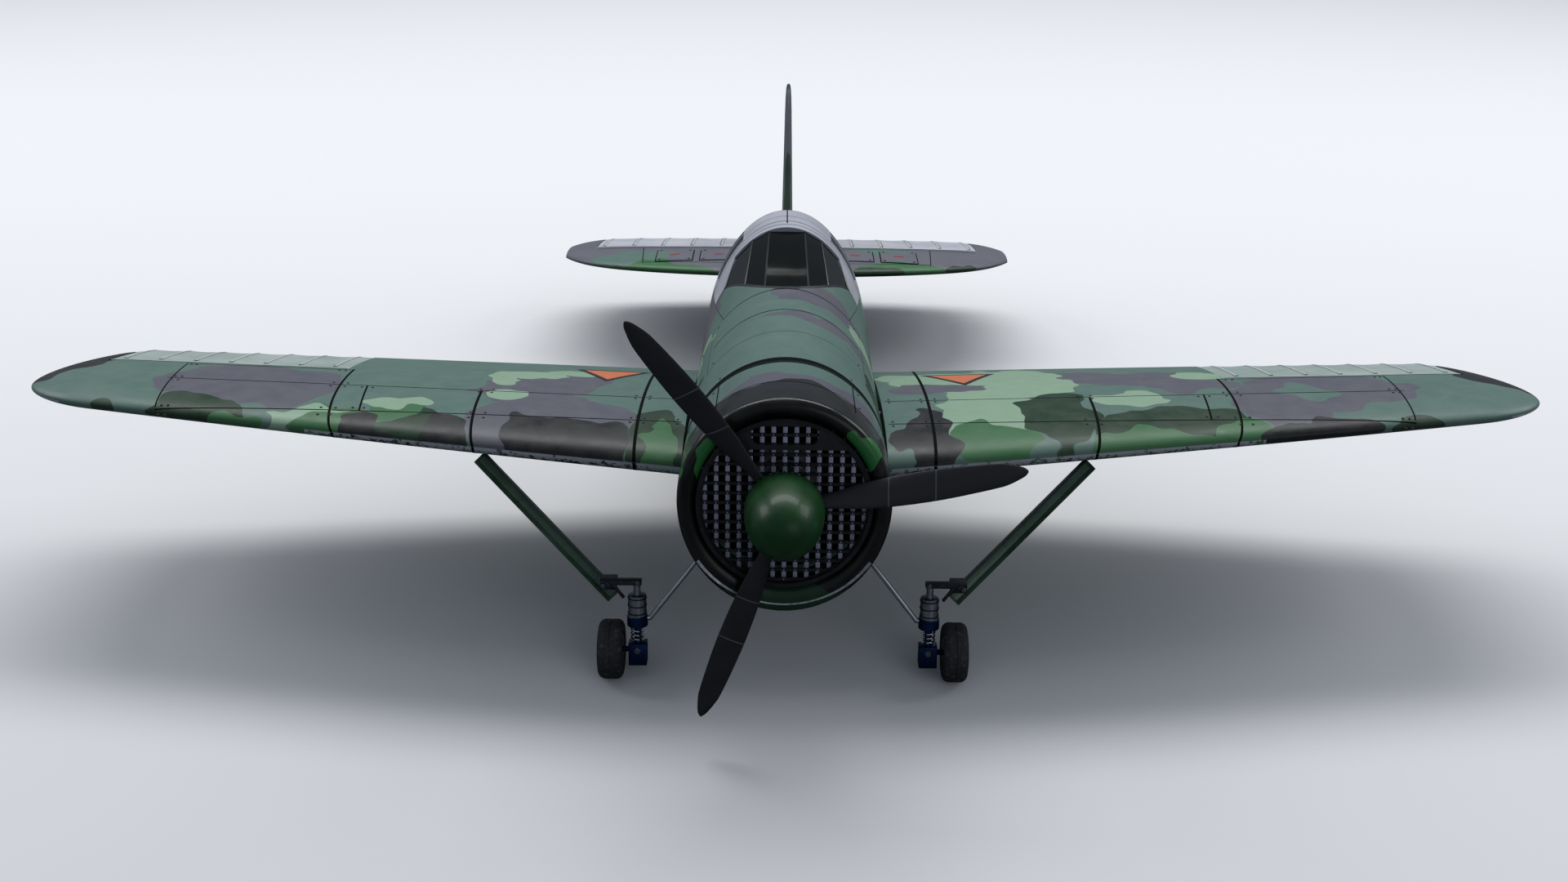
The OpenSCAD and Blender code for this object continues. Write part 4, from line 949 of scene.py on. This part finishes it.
for side, name, paint in ((-1, "left", WING_L), (1, "right", WING_R)):
    inner = panel_skin("inner", side, ROOT_X, AILERON_IN - 1)
    middle = panel_skin("middle", side, AILERON_IN - 1, AILERON_OUT + 1, True)
    outer = panel_skin("outer", side, AILERON_OUT + 1, TIP_X - 0.2, False, True)
    wing = joined("wing_skin_" + name, [inner, middle, outer])
    stands_for(wing, paint, "wing_" + name)

    ribs = [AILERON_IN + 14 + k * AILERON_RIBS for k in range(7)]

    def aileron_spot(u, v, side=side, ribs=ribs):
        x = AILERON_IN + (AILERON_OUT - AILERON_IN) * capped(v, 190)
        if v < 0.001 or v > 0.999:
            _, py, pz = wing_point(x, 0.8, True)
            return side * x, py, pz - 5
        return mirrored(side, flap_ring(u, lambda c, top, lift: wing_point(x, c, top, lift),
                                        aileron_share(x), *relief_at(x, ribs, AILERON_RIBS)))

    aileron = laid_skin("aileron_skin_" + name, 40, 190, aileron_spot, 40)
    stands_for(aileron, FABRIC, "aileron_" + name)
    # Pale tapes over the ribs, partly a painted highlight, each with a dark strip of painted shade beside it
    rib_bands("aileron_{}_" + name, name + "_aileron", side, ribs, wing_point, aileron_share, 0.012, 0.982,
              (("tapes_and_highlights", RIB_TAPE_AND_HIGHLIGHT, 0.0, 2.4, 1.22), ("grime", RIB_SIDE_SHADE, 1.9, 1.3, 0.75)))

    def on_wing(x, y, lift, side=side):
        front, rear = wing_edges(x)
        return mirrored(side, wing_point(x, (y - front) / (rear - front), True, lift))

    def ahead_of_hinge(x):
        return x, aileron_pivot(x)[0] - LIP - 0.9

    def joint_line(x0, x1, width, top_share, low_share, side=side):
        """A chordwise joint from the rear top, round the nose, to the underside."""
        def spot(u, v):
            w = 2 * v - 1
            share = top_share * w * w if w < 0 else low_share * w * w
            x = x0 + (x1 - x0) * (1 - max(0, -w)) + width * (u - 0.5)
            return mirrored(side, wing_point(x, share, w < 0, 0.14))
        return laid_skin("joint", 1, 60, spot)

    lines = [joint_line(133, 130, 2.8, 0.985, 0.8), joint_line(282, 272, 2.5, 0.36, 0.6),
             joint_line(418, 399, 2.2, AILERON_SHARE - 0.03, 0.5)]
    for a, b, width in (((92, 231), (574, 233), 1.2), ((92, 164), (563, 168), 1.2),
                        ((417, 297), (576, 293), 1.2), ((576, 294), (563, 168), 1.3),
                        ((388, 231), (380, 166), 1.7),
                        (ahead_of_hinge(426), ahead_of_hinge(654), 1.2)):
        lines.append(strip("line", on_wing, a, b, width, 0.12, 40))
    fitted(joined("wing_joints_" + name, lines), SEALANT_AND_SHADE)

    heads = []
    for x, y in WING_SCREWS:
        heads.append((on_wing(x, y, 0), (0, -0.04 if y > 200 else -0.2, 1)))
    fitted(screw_heads("wing_screws_" + name, heads, 1.25, 0.55), GUNMETAL, "airframe")

    for label, colour, grow, height in (("wing_mark_border_", DARK_ENAMEL, 1.0, 0.10),
                                        ("wing_mark_", ORANGE, 0.76, 0.18)):
        fitted(laid_skin(label + name, 16, 16, lambda u, v: on_wing(
            MARK_X + (1 - v) * grow * MARK_HALF * (2 * u - 1), MARK_Y + grow * (MARK_REAR - MARK_LENGTH * v),
            height)), colour)

    # Struts: folded channels with rounded rims
    top = Vector((side * STRUT_X, wing_edges(STRUT_X)[0] + 16, (STRUT_X - ROOT_X) * DIHEDRAL - 3))
    foot = Vector((side * 150.5, 112, -124))
    axis = top - foot
    reach = axis.length - 16
    strut = block("strut_channel_" + name, (11, 10, reach), foot + axis.normalized() * reach / 2, axis)
    away = direction(0, -1, -0.35)
    pick_faces(strut, lambda x, y, z: False)
    bpy.ops.object.mode_set(mode="OBJECT")
    open_face = max(strut.data.polygons, key=lambda f: f.normal.dot(away))
    inward = -8 * MM * open_face.normal
    open_face.select = True
    bpy.ops.object.mode_set(mode="EDIT")
    bpy.ops.mesh.inset(thickness=1.6 * MM)
    bpy.ops.transform.translate(value=inward)
    bpy.ops.object.mode_set(mode="OBJECT")
    rounded(strut, 0.5)
    stands_for(strut, STRUT, "wing_strut_" + name)

# ---- tail ----

HINGE_Y, AXIS_H = TAIL_END - 70, TAIL_H + 2.2


def hinge_share(x):
    front, rear = tail_edges(x)
    return (HINGE_Y - front) / (rear - front)


def tail_panel(name, x0, x1, hinged, around=80, along=60):
    def spot(u, v):
        x = x0 + (x1 - x0) * capped(v, along)
        x = max(0.1 - TAIL_TIP, min(TAIL_TIP - 0.1, x))
        front, rear = tail_edges(x)
        if v < 0.001 or v > 0.999:
            return x, front + 0.3 * (rear - front), TAIL_H

        def point(c, top, lift):
            return tail_point(x, c, top, lift)

        if not hinged:
            return section_ring(u, point)
        c = hinge_share(x)
        radius = (point(c, True, 0)[2] - point(c, False, 0)[2]) / 2
        return section_ring(u, point, (x, HINGE_Y, AXIS_H), c - LIP / (rear - front), radius)
    return laid_skin(name, around, along, spot)


horn = ELEVATOR_OUT + 1
stabiliser = joined("tailplane_skin", [
    tail_panel("left", -horn, -TAIL_ROOT, True), tail_panel("right", TAIL_ROOT, horn, True),
    tail_panel("tip", horn, TAIL_TIP, False), tail_panel("tip", -TAIL_TIP, -horn, False)])
stands_for(stabiliser, TAIL, "tailplane")
for side, name in ((-1, "left"), (1, "right")):
    ribs = [ELEVATOR_IN + 16 + k * ELEVATOR_RIBS for k in range(6)]

    def elevator_spot(u, v, side=side, ribs=ribs):
        x = ELEVATOR_IN + (ELEVATOR_OUT - ELEVATOR_IN) * capped(v, 180)
        if v < 0.001 or v > 0.999:
            return side * x, HINGE_Y + 40, TAIL_H
        rise, scallop = relief_at(x, ribs, ELEVATOR_RIBS)
        return mirrored(side, flap_ring(u, lambda c, top, lift: tail_point(x, c, top, lift), hinge_share(x),
                                        0.9 * rise, scallop))

    stands_for(laid_skin("elevator_skin_" + name, 40, 180, elevator_spot, 40), FABRIC_TAIL,
               "elevator_" + name)
    # Pale tapes over the ribs, partly a painted highlight, each with a dark strip of painted shade beside it
    rib_bands("elevator_{}_" + name, "elevators", side, ribs, tail_point, hinge_share, 0.02, 0.97,
              (("tapes_and_highlights", RIB_TAPE_AND_HIGHLIGHT, 0.0, 2.4, 1.1), ("grime", RIB_SIDE_SHADE, 1.9, 1.2, 0.65)))


def on_tail(x, y, lift):
    front, rear = tail_edges(x)
    return tail_point(x, (y - front) / (rear - front), True, lift)


COVER_LONG, COVER_WIDE, COVER_FRONT = 48, 44, HINGE_Y - 80
TAIL_LINES = (((34, HINGE_Y - LIP - 1), (238, HINGE_Y - LIP - 1), 1.8), ((34, 806), (238, 806), 1.1),
              ((176, 738), (180, 806), 1.0), ((34, 727), (176, 740), 0.9))


def tail_plate(name, side, x, grow, lift):
    """A rectangle on the tailplane, grow wider than the cover on every side."""
    return laid_skin(name, 12, 12, lambda u, v: on_tail(
        side * (x - COVER_WIDE / 2 - grow + (COVER_WIDE + 2 * grow) * u),
        COVER_FRONT - grow + (COVER_LONG + 2 * grow) * v, lift))


tail_lines_and_cover_shadows, corner_screws, dashes, covers = [], [], [], []
for side in (-1, 1):
    for a, b, width in TAIL_LINES:
        tail_lines_and_cover_shadows.append(strip("line", on_tail, (side * a[0], a[1]), (side * b[0], b[1]), width, 0.12, 40))
    for x in (84, 138):
        # A dark plate a little wider than each cover, laid under it: painted shadow round the cover's edges
        tail_lines_and_cover_shadows.append(tail_plate("line", side, x, 1.3, 0.25))
        covers.append(tail_plate("cover", side, x, 0, 0.9))
        corner_screws += [(on_tail(side * (x + dx), COVER_FRONT + dy, 0.9), (0, 0, 1))
                          for dx in (-18, 18) for dy in (4, 44)]
        dashes.append(strip("dash", on_tail, (side * (x - 6), COVER_FRONT + 25),
                            (side * (x + 6), COVER_FRONT + 23), 5, 1.05, 6))
cover = joined("tail_cover_plates", covers)
thicken(cover, 0.6)
stands_for(cover, TAIL, "tail_covers")
fitted(joined("tail_lines_and_cover_shadows", tail_lines_and_cover_shadows), SEALANT_AND_SHADE)
fitted(screw_heads("tail_screws", corner_screws, 1.6, 0.7), DARK_ENAMEL, "airframe")
fitted(joined("tail_dashes", dashes), RED_DASH)

for node in ("fin", "rudder"):
    stands_for(smooth_copy(node, 32, 0.4), FIN, node)

# ---- propeller and spinner ----

TIP_R, ADVANCE = 196, 250  # blade tip radius and the pitch of its screw
CHORDS = [(10, 12), (33, 13), (69, 22), (118, 25), (161, 21), (188, 16)]


def blade_point(clock, r, q, chord, sink=0.0, slant=0.0):
    """A point of the blade that stands at clock, at angle q round the section at r."""
    thick = 8 - 5.5 * r / TIP_R
    pitch = min(atan(ADVANCE / (2 * pi * r)), radians(55))
    c = -chord / 2 * cos(q)
    t = thick / 2 * sin(q) * (0.6 + 0.4 * abs(sin(q))) - sink
    out = r + slant * c / chord
    across = c * cos(pitch) - t * sin(pitch)
    return (out * cos(clock) - across * sin(clock), c * sin(pitch) + t * cos(pitch),
            out * sin(clock) + across * cos(clock))


def blade(clock):
    def spot(u, v):
        r = 10 + (TIP_R - 10) * (sin(pi / 2 * v) * 0.35 + 0.65 * v)
        chord = fair(CHORDS, min(r, 188))
        over = r - TIP_R + 20
        if over > 0:
            chord *= sqrt(max(0.0, 1 - (over / 20.2) ** 2)) * 0.75 + 0.25 * (1 - over / 21)
        return blade_point(clock, r, 2 * pi * u, chord)
    return laid_skin("blade", 28, 70, spot, 50)


clocks = [radians(9.7 + 120 * i) for i in range(3)]
hub = turned("hub", [(3.1, 0), (13, 0), (13, 15), (3.1, 15)], (0, -6, 0), (0, 1, 0), 48)
stands_for(joined("propeller_blades", [blade(clock) for clock in clocks] + [hub]), NYLON, "propeller")
stripes = []
for clock in clocks:
    for start in (84, 122):
        def stripe(u, v):
            r = start + 1.1 * (v - 0.5)
            return blade_point(clock, r, pi * (1.06 + 0.88 * u), 1.01 * fair(CHORDS, r), 0.12, 4)
        stripes.append(laid_skin("stripe", 20, 1, stripe))
fitted(joined("blade_stripes", stripes), STRIPE, "propeller_group")
dome = [(max(0.0, 32 * cos(radians(q)) ** 0.84), 62 * sin(radians(q)) ** 0.84)
        for q in range(0, 91, 3)]
spinner = turned("spinner_dome", [(30.5, 0)] + dome[:-1] + [(0, 62), (0, 60)]
                 + [(r * 0.95, h * 0.96) for r, h in reversed(dome[1:-1])], (0, -9, 0), (0, -1, 0), 128)
stands_for(spinner, LACQUER, "spinner")
stands_for(smooth_copy("spinner_backplate", 30, 0.3), LACQUER, "spinner_backplate")

# ---- landing gear ----

LEG_X, LEG_Y, WHEEL_X, AXLE_Z = 128.5, 100, 152, -169
# One half of the tyre's section from the bead to the middle of the tread, as (radius, half width)
TYRE = [(13.6, 8.5), (17, 10.6), (20.5, 11),
        *[(20.5 + 6 * sin(radians(q)), 11 - 6 * (1 - cos(radians(q)))) for q in (18, 36, 54, 72, 85)],
        (26.45, 3.2), (26.5, 0.7), (25.9, 0.5)]

for side, name in ((-1, "left"), (1, "right")):
    for node, metal, bevel in (("gear_bracket_", GUNMETAL, 0.4), ("brace_rod_", CHROME, 0.0),
                               ("oleo_cylinder_", STEEL, 0.5), ("axle_block_", BLUE, 0.8),
                               ("wheel_hub_", ALUMINIUM, 0.4)):
        stands_for(smooth_copy(node + name, 35, bevel), metal, node + name)
    leg = side * LEG_X
    spring = stands_for(smooth_copy("oleo_spring_" + name, 35), CHROME, "oleo_spring_" + name)
    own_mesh(spring)
    collar = turned("oleo_collar_" + name,
                    [(8.7, 0), (9.2, 0.6), (9.2, 9.2), (8.7, 9.8), (8.55, 9.8), (8.55, 0)],
                    (leg, LEG_Y, -145.9), (0, 0, 1), 48)
    fitted(collar, BLUE, "airframe")
    rings = [turned("ring", [(8.05, h), (8.45, h), (8.45, h + 1.2), (8.05, h + 1.2)],
                    (leg, LEG_Y, -136), (0, 0, 1), 48) for h in (2, 9, 16)]
    fitted(joined("oleo_rings_" + name, rings), GUNMETAL, "airframe")
    tyre = turned("tyre_tread_" + name, [(r, -w) for r, w in TYRE] + TYRE[::-1],
                  (side * WHEEL_X, LEG_Y, AXLE_Z), (1, 0, 0), 96, 40)
    stands_for(tyre, RUBBER, "tyre_" + name)
    ahead = (0, -1, 0)
    leg_bolts = [((leg + side * 29, 93.4, -107), ahead), ((leg - side, 95.9, -105), ahead)]
    fitted(screw_heads("leg_bolts_" + name, leg_bolts, 2.2, 1.2), STEEL, "airframe")
    fitted(screw_heads("block_bolt_" + name, [((leg, 92.9, -168), ahead)], 3.0, 1.4),
           STEEL, name + "_lower_leg")

# ---- finishes of the CAD nodes that show as they are ----

CAD_FINISHES = (
    (PLYWOOD, "fuselage_formers battery_tray"), (FIREWALL_SHADE_BLACK, "firewall"), (ALUMINIUM, "motor_mount motor_bell"),
    (GUNMETAL, "motor_stator"), (SLEEVE, "speed_controller battery"), (CARBON, "wing_tube"),
    (ABS, "receiver radio_servos cockpit_tub instrument_panel wing_bolts"), (LEATHER, "pilot_seat"),
    (STEEL, "aileron_torque_rod_left aileron_torque_rod_right elevator_joiner rudder_pins "
            "tail_wheel_bracket tail_wheel_fork"), (RUBBER, "tail_wheel"), (BRASS, "prop_nut"))
for material, node in [(material, node) for material, nodes in CAD_FINISHES for node in nodes.split()]:
    shown = frame["nodes"][node]
    shown.data.materials.clear()
    shown.data.materials.append(material)

# ---- floor, light and camera ----

deselect()
bpy.ops.mesh.primitive_plane_add(size=60, location=(0, 0, 0))
floor = bpy.context.object
floor.name = "floor"
material, tree, shader = finish("pale_studio_floor", Roughness=0.9)
seen = put(tree, "LightPath").outputs["Is Camera Ray"]
tree.links.new(mixed(tree, seen, linear("#5d6065"), linear("#f2f3f5")), shader.inputs["Base Color"])
floor.data.materials.append(material)

world = bpy.data.worlds.new("studio")
bpy.context.scene.world = world
world.use_nodes = True
air = world.node_tree
seen = put(air, "LightPath").outputs["Is Camera Ray"]
air.links.new(mixed(air, seen, linear("#757b84"), linear("#e9ebee")), air.nodes["Background"].inputs[0])


def softbox(name, spot, aim, size, watts):
    lamp = bpy.data.lights.new(name, "AREA")
    lamp.shape = "RECTANGLE"
    lamp.size, lamp.size_y = size
    lamp.energy = watts
    thing = bpy.data.objects.new(name, lamp)
    thing.visible_camera = False
    bpy.context.collection.objects.link(thing)
    turn = (Vector(aim) - Vector(spot)).to_track_quat("-Z", "Y").to_matrix().to_4x4()
    thing.matrix_world = Matrix.Translation(spot) @ turn


softbox("back_softbox", (0, 1.8, 3.1), (0, 0, 0.1), (4.4, 1.0), 84)
softbox("left_softbox", (-2.9, 1.0, 2.0), (0, 0, 0.1), (1.6, 1.6), 26)
softbox("right_softbox", (2.9, 1.0, 2.0), (0, 0, 0.1), (1.6, 1.6), 26)
softbox("front_fill", (1.6, -2.8, 1.6), (0, 0, 0.1), (2.0, 1.6), 6)

camera = bpy.data.cameras.new("camera")
camera.lens = 37.5
camera.sensor_width = 36
camera.clip_start = 0.05
eye = bpy.data.objects.new("camera", camera)
bpy.context.collection.objects.link(eye)
eye.matrix_world = (Matrix.Translation(HUB + Vector((-0.00097, -1.1271, 0.6599)))
                    @ Matrix.Rotation(radians(62), 4, "X") @ Matrix.Rotation(radians(0.62), 4, "Z"))
bpy.context.scene.camera = eye
bpy.context.scene.view_settings.view_transform = "Standard"

bpy.context.view_layer.update()
